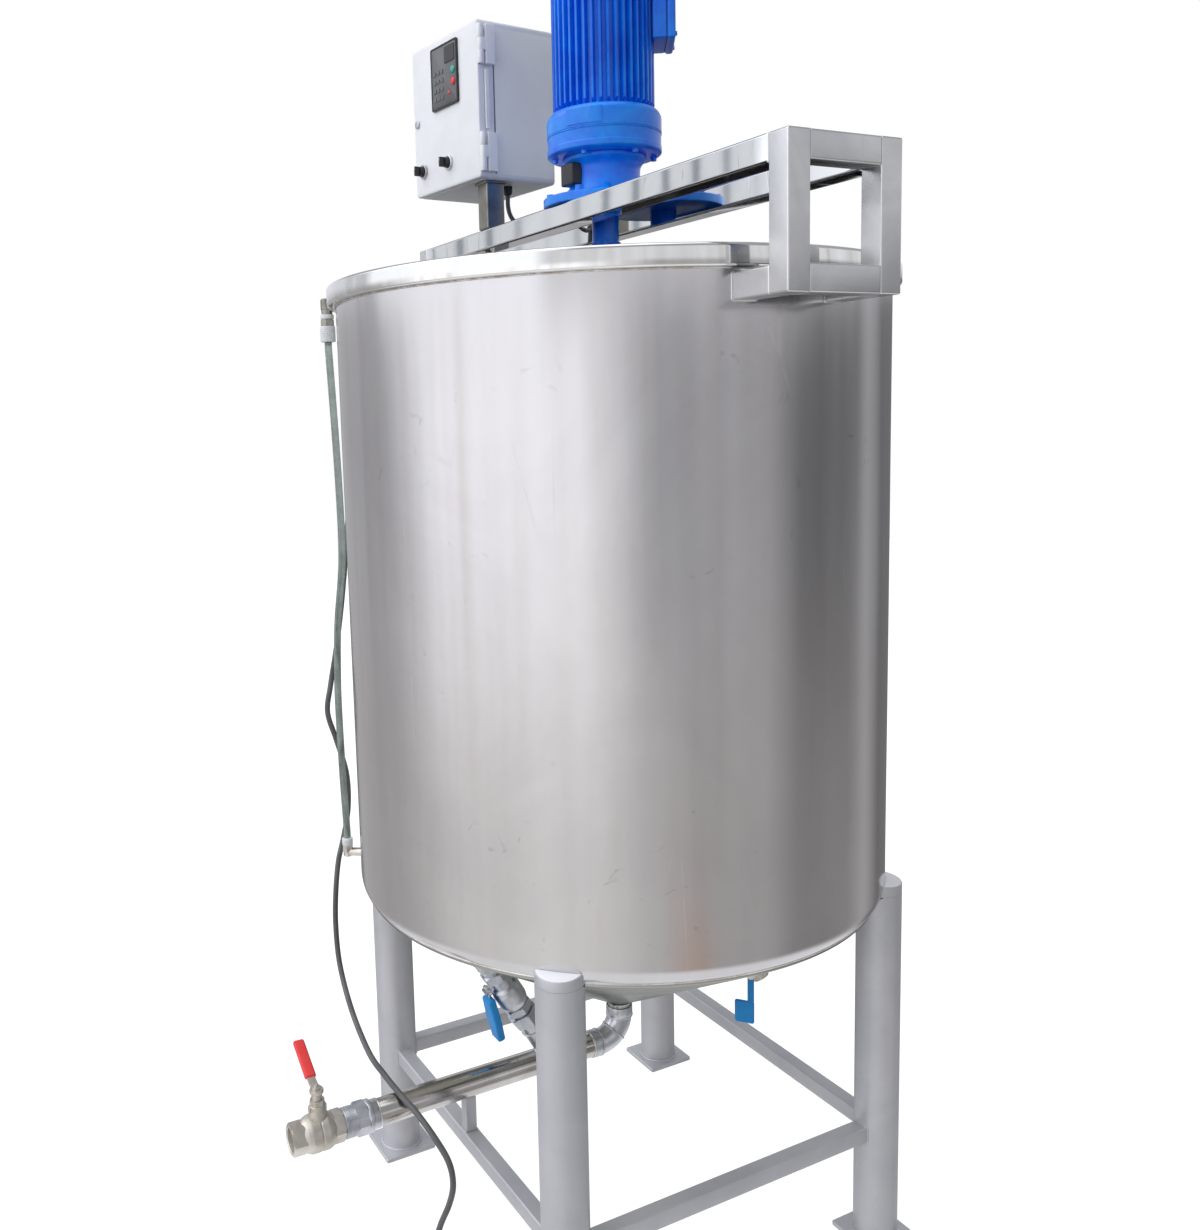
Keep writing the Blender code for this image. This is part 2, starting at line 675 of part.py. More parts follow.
def make_branch(tank):
    """Second outlet, square to the cone on the left, with a ball valve, down to the drain pipe."""
    foot = Vector((-BRANCH_START_R, 0.0, cone_height(BRANCH_START_R)))
    reach = 0.300
    outline = [
        (0, -0.010),
        (BRANCH_RADIUS, -0.010),
        (BRANCH_RADIUS, 0.078),
        (BRANCH_RADIUS + 0.006, 0.084),
        (BRANCH_RADIUS + 0.006, 0.126),
        (BRANCH_RADIUS, 0.130),
        (BRANCH_RADIUS, 0.140),
        (BRANCH_RADIUS + 0.008, 0.144),
        (BRANCH_RADIUS + 0.008, 0.176),
        (BRANCH_RADIUS, 0.180),
        (BRANCH_RADIUS, reach),
        (0, reach),
    ]
    body = along(solid_turned(outline, PIPE_STEPS), BRANCH_AIM, foot)
    branch = node("branch_valve", body, tank, STAINLESS, smooth=True)
    down, out = BRANCH_SEAT
    stem = along(barrel(0.009, 0.0, out - GAP, 12), BRANCH_SIDE, foot + BRANCH_AIM * down)
    modify(branch, "UNION", helper("branch_stem", stem, tank))
    cutter = solid_turned(
        [
            (0, CONE_BOTTOM - 3 * GAP),
            (OUTLET_RADIUS, CONE_BOTTOM - 3 * GAP),
            (TANK_RADIUS, WALL_BOTTOM - 3 * GAP),
            (TANK_RADIUS, 1.0),
            (0, 1.0),
        ],
        ROUND_STEPS,
    )
    modify(branch, "DIFFERENCE", helper("cone_cutter", cutter, tank))
    pipe = along(barrel(DRAIN_RADIUS + GAP, 0.0, 0.6, PIPE_STEPS), (-1, 0, 0), (0, 0, DRAIN_Z))
    modify(branch, "DIFFERENCE", helper("pipe_cutter", pipe, tank))
    below = block((-0.4, -0.1, 0.1), (0.1, 0.1, DRAIN_Z))
    modify(branch, "DIFFERENCE", helper("below_cutter", below, tank))
    pivot = empty("branch_lever_axis", foot + BRANCH_AIM * down + BRANCH_SIDE * out, parent=tank)
    lever = node("branch_lever", along(barrel(0.012, 0.0, 0.009, 16), BRANCH_SIDE, (0, 0, 0)), pivot, BLUE_GRIP)
    crank = math.radians(18)
    tilt = BRANCH_AIM * math.cos(crank) + BRANCH_SIDE * math.sin(crank)
    grip = soft_block((-0.004, -0.016, -0.006), (0.004, 0.016, 0.104), 0.002)
    turn = Matrix((-BRANCH_SIDE.cross(tilt).cross(tilt), BRANCH_SIDE.cross(tilt), tilt)).transposed()
    grip.transform(turn.to_4x4())
    grip.transform(Matrix.Translation(BRANCH_SIDE * 0.0055))
    modify(lever, "UNION", helper("branch_grip", grip, pivot))


SAMPLE_PLACE = (0.160, -0.200)


def make_sample_valve(tank):
    """Small valve close under the cone on the right, with a blue lever that hangs down."""
    x, y = SAMPLE_PLACE
    reach = math.hypot(x, y)
    outward = Vector((x, y, 0)) / reach
    aim = outward * math.sin(CONE_SLOPE) + Vector((0, 0, -math.cos(CONE_SLOPE)))
    foot = Vector((x, y, cone_height(reach)))
    outline = [(0, 0.002), (0.017, 0.002), (0.017, 0.014), (0.022, 0.018), (0.022, 0.040), (0.017, 0.044), (0.017, 0.052)]
    body = along(solid_turned([*outline, (0, 0.052)], PIPE_STEPS), aim, foot - aim * 0.001)
    valve = node("sample_valve", body, tank, STAINLESS, smooth=True)
    side = Vector((y, -x, 0)) / reach
    stem = along(barrel(0.007, 0.0, 0.030 - GAP, 12), side, foot + aim * 0.026)
    modify(valve, "UNION", helper("sample_stem", stem, tank))
    pivot = empty("sample_lever_axis", foot + aim * 0.026 + side * 0.030, parent=tank)
    lever = node("sample_lever", along(barrel(0.010, 0.0, 0.009, 16), side, (0, 0, 0)), pivot, BLUE_GRIP)
    turn = Matrix.Rotation(math.atan2(outward.y, outward.x), 4, "Z")
    for name, low, high in (
        ("strip", (-0.0065, -0.0085, -0.095), (0.0065, -0.0015, 0.004)),
        ("grip", (-0.0305, -0.0095, -0.098), (0.0065, -0.0005, -0.054)),
    ):
        piece = soft_block(low, high, 0.0015)
        piece.transform(turn)
        modify(lever, "UNION", helper("sample_" + name, piece, pivot))


def make_control_box(tank):
    """Grey control box on a square post, with a hinged door, an operator panel and two knobs."""
    x, y = POST_CENTRE
    half = TUBE / 2
    post = soft_block(
        (x - half, y - half, BRIDGE_TOP + GAP), (x + half, y + half, BOX_BOTTOM - GAP), 0.0015
    )
    node("box_post", post, tank, POLISHED)
    box = empty("control_box_axis", (*BOX_CENTRE, BOX_BOTTOM), BOX_TURN, tank)
    deep, wide = BOX_DEPTH / 2, BOX_WIDTH / 2
    case = node("control_box", soft_block((-deep, -wide, 0), (deep, wide, BOX_HEIGHT), 0.003), box, BOX_GREY)
    hollow = block(
        (-deep - 0.010, -wide + BOX_WALL, BOX_WALL), (deep - BOX_WALL, wide - BOX_WALL, BOX_HEIGHT - BOX_WALL)
    )
    modify(case, "DIFFERENCE", helper("box_hollow", hollow, box))
    hinge = empty("door_axis", (-deep - 0.008, -wide - 0.006, 0), parent=box)
    front = 0.008 - GAP
    door = soft_block((front - DOOR_THICKNESS, 0.003, 0.001), (front, BOX_WIDTH + 0.006, BOX_HEIGHT - 0.001), 0.002)
    door_node = node("control_box_door", door, hinge, BOX_GREY)
    for index, low in enumerate((0.012, BOX_HEIGHT - 0.086)):
        knuckle = barrel(0.0065, low, low + 0.074, 12)
        modify(door_node, "UNION", helper(f"knuckle_{index}", knuckle, hinge))
        leaf = block((-0.004, 0.0, low), (0.002, 0.010, low + 0.074))
        modify(door_node, "UNION", helper(f"leaf_{index}", leaf, hinge))
    face = front - DOOR_THICKNESS - GAP
    panel = soft_block((face - 0.005, 0.072, 0.159), (face, 0.172, 0.282), 0.001)
    node("operator_panel", panel, hinge, BLACK)
    for name, reach in (("left", 0.2205), ("right", 0.1195)):
        knob_axis = empty("knob_axis_" + name, (face, reach, 0.050), parent=hinge)
        knob = solid_turned(
            [(0, 0), (0.014, 0), (0.014, 0.004), (0.010, 0.006), (0.010, 0.022), (0.008, 0.024), (0, 0.024)], 16
        )
        node("selector_knob_" + name, along(knob, (-1, 0, 0), (0, 0, 0)), knob_axis, BLACK, smooth=True)
    gland = barrel(0.013, -0.024, -GAP, 12, edge=0.002)
    gland.transform(Matrix.Translation(CORD_GLAND))
    node("cord_gland", gland, box, BLACK)
    motor_gland = barrel(0.010, -0.018, -GAP, 12, edge=0.002)
    motor_gland.transform(Matrix.Translation(MOTOR_GLAND))
    node("motor_cable_gland", motor_gland, box, BLACK)


CORD_GLAND = (-0.0153, -0.0406, 0.0)
MOTOR_GLAND = (0.0033, -0.0707, 0.0)


def box_point(x, y, z):
    """A point of the control box in the vessel's frame."""
    turned_point = Matrix.Rotation(BOX_TURN, 3, "Z") @ Vector((x, y, z))
    return turned_point + Vector((*BOX_CENTRE, BOX_BOTTOM))


GAUGE_HOSE = [
    (-0.446, 0.285, 1.715),
    (-0.446, 0.285, 1.695),
    (-0.446, 0.272, 1.560),
    (-0.446, 0.262, 1.400),
    (-0.446, 0.268, 1.285),
    (-0.448, 0.300, 1.173),
    (-0.450, 0.314, 1.030),
    (-0.449, 0.312, 0.860),
    (-0.448, 0.305, 0.748),
    (-0.448, 0.305, 0.728),
]
HOSE_RADIUS = 0.007
FITTING_RADIUS = 0.009


def make_gauge(tank):
    """Level gauge: a clear hose between two bent fittings on the wall's left side."""
    for name, hose_end, height, turn, seat, bore, cap in (
        ("upper", 0, 1.785, -1, RIM_RADIUS, 0.0125, 0.030),
        ("lower", -1, 0.698, 1, TANK_RADIUS, 0.0102, 0.0),
    ):
        x, y, end = GAUGE_HOSE[hose_end]
        outward = Vector((x, y, 0)).normalized()
        reach = Vector((x, y, 0)).length - seat - GAP
        arm = along(barrel(FITTING_RADIUS, 0.0, reach + 0.004, 16), outward, outward * (seat + GAP))
        arm.transform(Matrix.Translation((0, 0, height)))
        fitting = node("gauge_fitting_" + name, arm, tank, STAINLESS, smooth=True)
        ends = sorted((height - turn * (bore - 0.001), end - turn * GAP))
        riser = barrel(bore, *ends, 16)
        riser.transform(Matrix.Translation((x, y, 0)))
        modify(fitting, "UNION", helper("gauge_riser_" + name, riser, tank))
        if cap:
            nut = barrel(0.015, end + GAP, end + cap, 16)
            nut.transform(Matrix.Translation((x, y, 0)))
            modify(fitting, "UNION", helper("gauge_cap_" + name, nut, tank))
    hose = curve_tube("gauge_hose", smooth_path(GAUGE_HOSE, 0.030), HOSE_RADIUS, 2, tank)
    hose.data.materials.append(material("gauge_hose", *CLEAR_HOSE))


def curve_tube(name, points, radius, resolution, parent):
    """Round tube on a poly curve, with filled ends."""
    data = bpy.data.curves.new(name, "CURVE")
    data.dimensions = "3D"
    data.bevel_depth = radius
    data.bevel_resolution = resolution
    data.use_fill_caps = True
    spline = data.splines.new("POLY")
    spline.points.add(len(points) - 1)
    for place, point in zip(spline.points, points):
        place.co = (*point, 1.0)
    made = bpy.data.objects.new(name, data)
    made.parent = parent
    bpy.context.scene.collection.objects.link(made)
    return made


CORD_RADIUS = 0.0055
COIL_CENTRE = (-0.530, -0.345)
COIL_MEAN = 0.075
COIL_TURNS_WIDE = 2
COIL_TURNS_HIGH = 3
CORD_ROUTE = [
    (-0.0545, 0.342, 1.950),
    (-0.0550, 0.347, 1.920),
    (-0.0610, 0.355, 1.890),
    (-0.0820, 0.374, 1.866),
    (-0.1170, 0.405, 1.856),
    (-0.1570, 0.440, 1.851),
    (-0.2000, 0.473, 1.834),
    (-0.2420, 0.489, 1.796),
    (-0.2780, 0.480, 1.748),
    (-0.3100, 0.452, 1.680),
    (-0.3520, 0.405, 1.540),
    (-0.3900, 0.370, 1.380),
    (-0.4180, 0.342, 1.240),
    (-0.4400, 0.331, 1.130),
    (-0.4590, 0.331, 1.040),
    (-0.4680, 0.331, 0.985),
    (-0.4520, 0.332, 0.925),
    (-0.4360, 0.326, 0.855),
    (-0.4360, 0.325, 0.785),
    (-0.4470, 0.331, 0.720),
    (-0.4600, 0.333, 0.670),
    (-0.4710, 0.327, 0.605),
    (-0.4780, 0.316, 0.540),
    (-0.4815, 0.291, 0.468),
    (-0.4850, 0.222, 0.405),
    (-0.4870, 0.129, 0.364),
    (-0.4850, 0.054, 0.3560),
    (-0.4825, -0.026, 0.3550),
    (-0.4756, -0.074, 0.3480),
    (-0.4620, -0.117, 0.322),
    (-0.4470, -0.139, 0.285),
    (-0.4400, -0.138, 0.240),
    (-0.4400, -0.118, 0.190),
    (-0.4480, -0.093, 0.135),
    (-0.4600, -0.084, 0.080),
    (-0.4690, -0.098, 0.034),
    (-0.4700, -0.136, 0.0092),
    (-0.4620, -0.190, 0.0060),
    (-0.4520, -0.248, 0.0058),
]
MOTOR_ROUTE = [
    (-0.028, 0.302, 1.964),
    (-0.008, 0.280, 1.947),
    (0.028, 0.248, 1.946),
    (0.064, 0.216, 1.962),
    (0.092, 0.186, 1.998),
    (0.108, 0.160, 2.050),
    (0.118, 0.136, 2.110),
    (0.128, 0.108, 2.172),
    (0.138, 0.078, 2.226),
    (0.146, 0.047, 2.268),
    (0.1425, 0.0175, 2.285),
]


def make_cords(tank):
    """The supply cord down the back left to a coil and plug on the floor, and the motor's own cable."""
    exit_point = box_point(*CORD_GLAND) + Vector((0, 0, -0.024 - GAP))
    drop = exit_point + Vector((0, 0, -0.024))
    coil_outer = COIL_MEAN + COIL_TURNS_WIDE * CORD_RADIUS
    coil_inner = COIL_MEAN - COIL_TURNS_WIDE * CORD_RADIUS
    coil_top = 2 * CORD_RADIUS * COIL_TURNS_HIGH
    x, y = COIL_CENTRE
    tangent = x + COIL_MEAN + CORD_RADIUS
    end = Vector((tangent, y + 0.0427, CORD_RADIUS + GAP))
    route = [exit_point, drop, *CORD_ROUTE, end]
    cord = curve_tube("supply_cord", smooth_path(route, 0.0348), CORD_RADIUS, 2, tank)
    cord.data.materials.append(material("supply_cord", *CABLE_GREY))
    ring = turned([(coil_inner, 0.0), (coil_outer, 0.0), (coil_outer, coil_top), (coil_inner, coil_top)], 32)
    ring.transform(Matrix.Translation((x, y, GAP)))
    node("supply_cord_coil", ring, tank, CABLE_GREY)
    plug = solid_turned([(0, 0), (0.010, 0), (0.018, 0.022), (0.026, 0.040), (0.026, 0.110), (0, 0.110)], 16)
    plug = along(plug, (0, -1, 0), (tangent, y - 0.0498, 0.026 + GAP))
    node("supply_plug", plug, tank, BLACK, smooth=True)
    start = box_point(*MOTOR_GLAND) + Vector((0, 0, -0.018 - GAP))
    finish = MOTOR_ENTRY + MOTOR_ENTRY_AIM * (0.018 + GAP)
    route = [start, start + Vector((0.0, 0.0, -0.024)), *MOTOR_ROUTE, finish]
    cable = curve_tube("motor_cable", smooth_path(route, 0.020), 0.0045, 2, tank)
    cable.data.materials.append(material("motor_cable", *CABLE_GREY))


def main():
    clear_scene()
    tank = empty("tank_axis", (AXIS_X, 0, 0))
    make_wall(tank)
    make_rim(tank)
    make_cone(tank)
    make_legs(tank)
    make_braces(tank)
    make_bridge(tank)
    make_drive(tank)
    make_agitator(tank)
    make_drain(tank)
    make_branch(tank)
    make_sample_valve(tank)
    make_control_box(tank)
    make_gauge(tank)
    make_cords(tank)


main()
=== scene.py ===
# %% [markdown]
# # A chemical mixing tank
# The real object is an upright stainless steel vessel with a cone bottom on four pipe legs.
# A bridge of square tubes over its mouth carries a blue gearmotor and a small control box.
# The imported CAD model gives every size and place. This lesson dresses it: each visible
# surface is worked out as a numpy array, and each finish is a small tree of shader nodes.

import bpy
import numpy as np
from mathutils import Matrix


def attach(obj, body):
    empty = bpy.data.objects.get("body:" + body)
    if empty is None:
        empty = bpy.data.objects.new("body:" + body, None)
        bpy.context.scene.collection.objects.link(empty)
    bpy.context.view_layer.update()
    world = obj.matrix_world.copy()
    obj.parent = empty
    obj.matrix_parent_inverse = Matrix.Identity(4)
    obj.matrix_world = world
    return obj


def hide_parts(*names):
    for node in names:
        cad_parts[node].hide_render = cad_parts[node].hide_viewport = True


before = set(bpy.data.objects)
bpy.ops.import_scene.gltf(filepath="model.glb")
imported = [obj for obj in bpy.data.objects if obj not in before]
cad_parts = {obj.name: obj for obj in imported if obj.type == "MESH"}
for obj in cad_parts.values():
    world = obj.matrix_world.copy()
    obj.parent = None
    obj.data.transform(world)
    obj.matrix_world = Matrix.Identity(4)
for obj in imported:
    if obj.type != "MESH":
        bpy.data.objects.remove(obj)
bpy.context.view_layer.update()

# %% [markdown]
# ## The camera
# The photograph was taken from the front left, a little above half of the tank's height,
# looking slightly down. The picture was cropped afterwards, so its optical centre is not
# in its middle: the camera's shift puts it back. All pieces are worked out about the
# vessel's own axis, which stands a little along +X in the frame.

# %% Camera at the photograph's place
AXIS_X = 0.0855
CAMERA_PLACE = np.array([-1.197 + AXIS_X, -1.834, 1.570])
FOCAL_PIXELS, TALL_PIXELS, SENSOR = 1151.09, 1230, 36.0
yaw, pitch, roll = np.radians([26.86, 7.141, -1.7826])
forward = np.array([np.sin(yaw) * np.cos(pitch), np.cos(yaw) * np.cos(pitch), -np.sin(pitch)])
level = np.array([np.cos(yaw), -np.sin(yaw), 0.0])
upright = np.cross(level, forward)
right = np.cos(roll) * level + np.sin(roll) * upright
up = np.cos(roll) * upright - np.sin(roll) * level
camera = bpy.data.objects.new("camera", bpy.data.cameras.new("camera"))
camera.data.sensor_width = SENSOR
camera.data.lens = FOCAL_PIXELS / TALL_PIXELS * SENSOR
camera.data.shift_x, camera.data.shift_y = 0.0928, -0.0460
pose = np.eye(4)
pose[:3, :3] = np.stack([right, up, -forward], axis=1)
pose[:3, 3] = CAMERA_PLACE
camera.matrix_world = Matrix(pose.tolist())
bpy.context.scene.collection.objects.link(camera)
bpy.context.scene.camera = camera
print(f"camera: {camera.data.lens:.2f} mm lens at {CAMERA_PLACE.round(3)}")

# %% [markdown]
# ## The cords
# A cord is a fixed length of something flexible, so it comes before the hard pieces.
# The supply cord leaves the control box downwards, falls behind the vessel on the left,
# lies over the drain pipe and drops to the floor. What the photograph does not show is
# wound into a coil on the floor. Each route is a Bezier curve whose handles point along
# the line between the neighbouring knots, one sixth of its length: that is the same curve
# as the CAD's own.

# %% A round cord through knots
def cord_curve(name, knots, radius, sides=4):
    """Bezier tube through knots: handles at P -+ (next - previous) / 6."""
    knots = np.asarray(knots, float) + [AXIS_X, 0.0, 0.0]
    first, last = 2 * knots[0] - knots[1], 2 * knots[-1] - knots[-2]
    padded = np.vstack([first, knots, last])
    reach = (padded[2:] - padded[:-2]) / 6
    data = bpy.data.curves.new(name, "CURVE")
    data.dimensions = "3D"
    data.bevel_depth, data.bevel_resolution = radius, sides
    data.resolution_u, data.render_resolution_u = 8, 0
    data.use_fill_caps = True
    spline = data.splines.new("BEZIER")
    spline.bezier_points.add(len(knots) - 1)
    spline.bezier_points.foreach_set("co", knots.ravel())
    for point in spline.bezier_points:
        point.handle_left_type = point.handle_right_type = "FREE"
    spline.bezier_points.foreach_set("handle_left", (knots - reach).ravel())
    spline.bezier_points.foreach_set("handle_right", (knots + reach).ravel())
    made = bpy.data.objects.new(name, data)
    bpy.context.scene.collection.objects.link(made)
    return made


def curve_length(knots):
    """Length of the same curve, measured on 12 short chords between neighbouring knots."""
    knots = np.asarray(knots, float)
    padded = np.vstack([2 * knots[0] - knots[1], knots, 2 * knots[-1] - knots[-2]])
    a, b, c, d = padded[:-3, None], padded[1:-2, None], padded[2:-1, None], padded[3:, None]
    t = np.linspace(0, 1, 13)[None, :, None]
    path = 0.5 * (2 * b + (c - a) * t + (2 * a - 5 * b + 4 * c - d) * t**2 + (3 * b - a - 3 * c + d) * t**3)
    return float(np.linalg.norm(np.diff(path, axis=1), axis=2).sum())


# %% Places on the control box, which is turned six degrees
BOX_CENTRE = np.array([-0.044, 0.382, 2.032])
BOX_TURN = np.radians(6)
BOX_AXES = np.array(
    [[np.cos(BOX_TURN), np.sin(BOX_TURN), 0], [-np.sin(BOX_TURN), np.cos(BOX_TURN), 0], [0, 0, 1]]
)


def box_place(points):
    """Points of the control box turned and moved into the vessel's frame: p = q R + centre."""
    return np.asarray(points, float) @ BOX_AXES + BOX_CENTRE


# %% Supply cord: the free route and the coil
CORD_RADIUS = 0.0055
COIL_CENTRE, COIL_MEAN, COIL_TURNS = np.array([-0.530, -0.345]), 0.075, 6
FLOOR_GAP = 0.0003
cord_exit = box_place([-0.0153, -0.0406, -0.0243])
CORD_KNOTS = [
    cord_exit, cord_exit - [0, 0, 0.024], (-0.0545, 0.342, 1.950), (-0.0550, 0.347, 1.920),
    (-0.0610, 0.355, 1.890), (-0.0820, 0.374, 1.866), (-0.1170, 0.405, 1.856), (-0.1570, 0.440, 1.851),
    (-0.2000, 0.473, 1.834), (-0.2420, 0.489, 1.796), (-0.2780, 0.480, 1.748), (-0.3100, 0.452, 1.680),
    (-0.3520, 0.405, 1.540), (-0.3900, 0.370, 1.380), (-0.4180, 0.342, 1.240), (-0.4400, 0.331, 1.130),
    (-0.4590, 0.331, 1.040), (-0.4680, 0.331, 0.985), (-0.4520, 0.332, 0.925), (-0.4360, 0.326, 0.855),
    (-0.4360, 0.325, 0.785), (-0.4470, 0.331, 0.720), (-0.4600, 0.333, 0.670), (-0.4710, 0.327, 0.605),
    (-0.4780, 0.316, 0.540), (-0.4815, 0.291, 0.468), (-0.4850, 0.222, 0.405), (-0.4870, 0.129, 0.364),
    (-0.4850, 0.054, 0.3560), (-0.4825, -0.026, 0.3550), (-0.4756, -0.074, 0.3480), (-0.4620, -0.117, 0.322),
    (-0.4470, -0.139, 0.285), (-0.4400, -0.138, 0.240), (-0.4400, -0.118, 0.190), (-0.4480, -0.093, 0.135),
    (-0.4600, -0.084, 0.080), (-0.4690, -0.098, 0.034), (-0.4700, -0.136, 0.0092), (-0.4620, -0.190, 0.0060),
    (-0.4520, -0.248, 0.0058), (-0.4495, -0.3023, 0.0058)
]


def coil_knots(per_turn=14):
    """Turns of a coil seen from above, clockwise from the east point.

    The cord lies on the outer ring, then on the inner ring of each layer in turn. It climbs
    between 45% and 70% of a turn and changes ring after 70%, so that no turn meets the one
    below. Each change is a smooth step s = u * u * (3 - 2 u).
    """
    turn = np.arange(COIL_TURNS * per_turn + 1) / per_turn
    whole = np.minimum(turn.astype(int), COIL_TURNS - 1)

    def change(values, begin, length):
        """The value of each turn, passing smoothly to the next one's in a part of the turn."""
        u = np.clip((turn - whole - begin) / length, 0, 1)
        u = u * u * (3 - 2 * u)
        values = np.array(values)
        return values[whole] * (1 - u) + values[whole + 1] * u

    radius = COIL_MEAN + CORD_RADIUS * change([1, -1, -1, 1, 1, -1, 1], 0.7, 0.3)
    height = FLOOR_GAP + CORD_RADIUS * (1 + 2 * change([0, 0, 1, 1, 2, 2, 3], 0.45, 0.25))
    angle = -2 * np.pi * turn
    return np.stack(
        [COIL_CENTRE[0] + radius * np.cos(angle), COIL_CENTRE[1] + radius * np.sin(angle), height], 1
    )


coil = coil_knots()
plug_face = np.array([COIL_CENTRE[0] + COIL_MEAN + CORD_RADIUS, COIL_CENTRE[1] - 0.0498, 0.0263])
cord_end = [coil[-1] + [0, -0.026, -0.0085], plug_face + [0, -0.004, 0.0]]
supply_knots = np.vstack([CORD_KNOTS, coil, cord_end])
supply_cord = cord_curve("supply_cord_run", supply_knots, CORD_RADIUS)

# %% Gauge hose and the motor's own cable
HOSE_RADIUS, CABLE_RADIUS = 0.007, 0.0045
GAUGE_KNOTS = [
    (-0.446, 0.285, 1.715), (-0.446, 0.285, 1.695), (-0.446, 0.272, 1.560), (-0.446, 0.262, 1.400),
    (-0.446, 0.268, 1.285), (-0.448, 0.300, 1.173), (-0.450, 0.314, 1.030), (-0.449, 0.312, 0.860),
    (-0.448, 0.305, 0.748), (-0.448, 0.305, 0.728),
]  # fmt: skip
motor_exit = box_place([0.0033, -0.0707, -0.0183])
entry_turn = np.radians(33)
ENTRY_AIM = np.array([np.sin(entry_turn), np.cos(entry_turn), 0])
ENTRY_FACE = np.array([0.110 * np.cos(entry_turn), -0.110 * np.sin(entry_turn), 2.285]) + 0.050 * ENTRY_AIM
motor_entry = ENTRY_FACE + 0.0183 * ENTRY_AIM
MOTOR_KNOTS = [
    motor_exit, motor_exit - [0, 0, 0.024],
    (-0.028, 0.302, 1.964), (-0.008, 0.280, 1.947), (0.028, 0.248, 1.946), (0.064, 0.216, 1.962),
    (0.092, 0.186, 1.998), (0.108, 0.160, 2.050), (0.118, 0.136, 2.110), (0.128, 0.108, 2.172),
    (0.138, 0.078, 2.226), (0.146, 0.047, 2.268), (0.1425, 0.0175, 2.285), motor_entry,
]  # fmt: skip


def halfway(knots):
    """The knots with one more between each two, on the same smooth curve."""
    padded = np.vstack([2 * np.array(knots[0]) - knots[1], knots, 2 * np.array(knots[-1]) - knots[-2]])
    middle = (9 * (padded[1:-2] + padded[2:-1]) - padded[:-3] - padded[3:]) / 16
    both = np.empty((2 * len(knots) - 1, 3))
    both[0::2], both[1::2] = knots, middle
    return both


gauge_knots = halfway(GAUGE_KNOTS)
gauge_hose = cord_curve("gauge_hose_run", gauge_knots, HOSE_RADIUS, 6)
motor_knots = halfway(MOTOR_KNOTS)
motor_cable = cord_curve("motor_cable_run", motor_knots, CABLE_RADIUS)
print(f"gauge hose {curve_length(gauge_knots):.3f} m, motor cable {curve_length(motor_knots):.3f} m")

# %% [markdown]
# ## Surfaces from arrays
# Nearly every piece here is a stack of closed loops joined by quads: a turned part, a bent
# pipe, a rounded plate and a weld bead are all loops carried along some path. So one
# function joins loops, and the others only say where the loops are.

# %% Joining loops into closed shapes
def outward(points, faces):
    """Turns the faces round if the shape's signed volume, the sum of a . (b x c) / 6, is negative."""
    a, b, c, d = (points[faces[:, k]] for k in range(4))
    volume = np.einsum("ij,ij->", a, np.cross(b, c)) + np.einsum("ij,ij->", a, np.cross(c, d))
    return (points, faces[:, ::-1]) if volume < 0 else (points, faces)


def loft(loops, ring=False):
    """Quads between closed loops, an array (loops, points, 3). The end loops are drawn in to
    their centres, or with ring the last loop joins the first."""
    loops = np.asarray(loops, float)
    if not ring:
        ends = [np.broadcast_to(loop.mean(0), loop.shape) for loop in (loops[0], loops[-1])]
        loops = np.concatenate([ends[:1], loops, ends[1:]])
    rows, columns = loops.shape[:2]
    r = np.arange(rows if ring else rows - 1)[:, None]
    c = np.arange(columns)[None, :]
    r2, c2 = (r + 1) % rows, (c + 1) % columns
    quads = np.stack([r * columns + c, r * columns + c2, r2 * columns + c2, r2 * columns + c], -1)
    return outward(loops.reshape(-1, 3), quads.reshape(-1, 4))


def joined(*shapes):
    """Several (points, faces) shapes as one shape."""
    starts = np.cumsum([0] + [len(points) for points, _ in shapes[:-1]])
    faces = [faces + start for (_, faces), start in zip(shapes, starts)]
    return np.vstack([points for points, _ in shapes]), np.vstack(faces)


# %% Rounding an outline and turning it
def rounded(outline, radius, arc=4, ring=False):
    """Each corner C becomes arc + 1 points of the blend (1-s)^2 A + 2 s (1-s) C + s^2 B, where A and
    B lie the radius before and after it, or nearly half of the side if that is less."""
    outline = np.asarray(outline, float)
    radius = np.broadcast_to(radius, len(outline))
    before, after = np.roll(outline, 1, axis=0), np.roll(outline, -1, axis=0)
    s = np.linspace(0, 1, arc + 1)[None, :, None]

    def cut(other):
        """The point on each side where the round corner starts."""
        side = other - outline
        length = np.linalg.norm(side, axis=1)
        return outline + side * (np.minimum(radius, 0.48 * length) / length)[:, None]

    a, b, c = cut(before)[:, None], cut(after)[:, None], outline[:, None]
    blend = (1 - s) ** 2 * a + 2 * s * (1 - s) * c + s**2 * b
    if ring:
        return blend.reshape(-1, outline.shape[1])
    return np.vstack([outline[:1], blend[1:-1].reshape(-1, outline.shape[1]), outline[-1:]])


def lathe(profile, steps=96, ring=False):
    """Revolution about Z of (radius, height) points: x = r cos t, y = r sin t, z = h. Without ring
    the profile starts and ends on the axis."""
    r, h = np.asarray(profile, float).T
    t = np.linspace(0, 2 * np.pi, steps, endpoint=False)
    loops = np.stack([r[:, None] * np.cos(t), r[:, None] * np.sin(t), np.repeat(h[:, None], steps, 1)], -1)
    return loft(loops, ring)


def turned(profile, edge, arc, steps, ring=False):
    """A turned part: its profile gets round corners and is revolved about Z."""
    outline = rounded(profile, edge, arc, ring)
    return lathe(outline, steps, ring)


def rod(radius, low, high, edge, arc, steps):
    """A round bar about Z from low to high, with soft edges."""
    return turned([(0, low), (radius, low), (radius, high), (0, high)], edge, arc, steps)


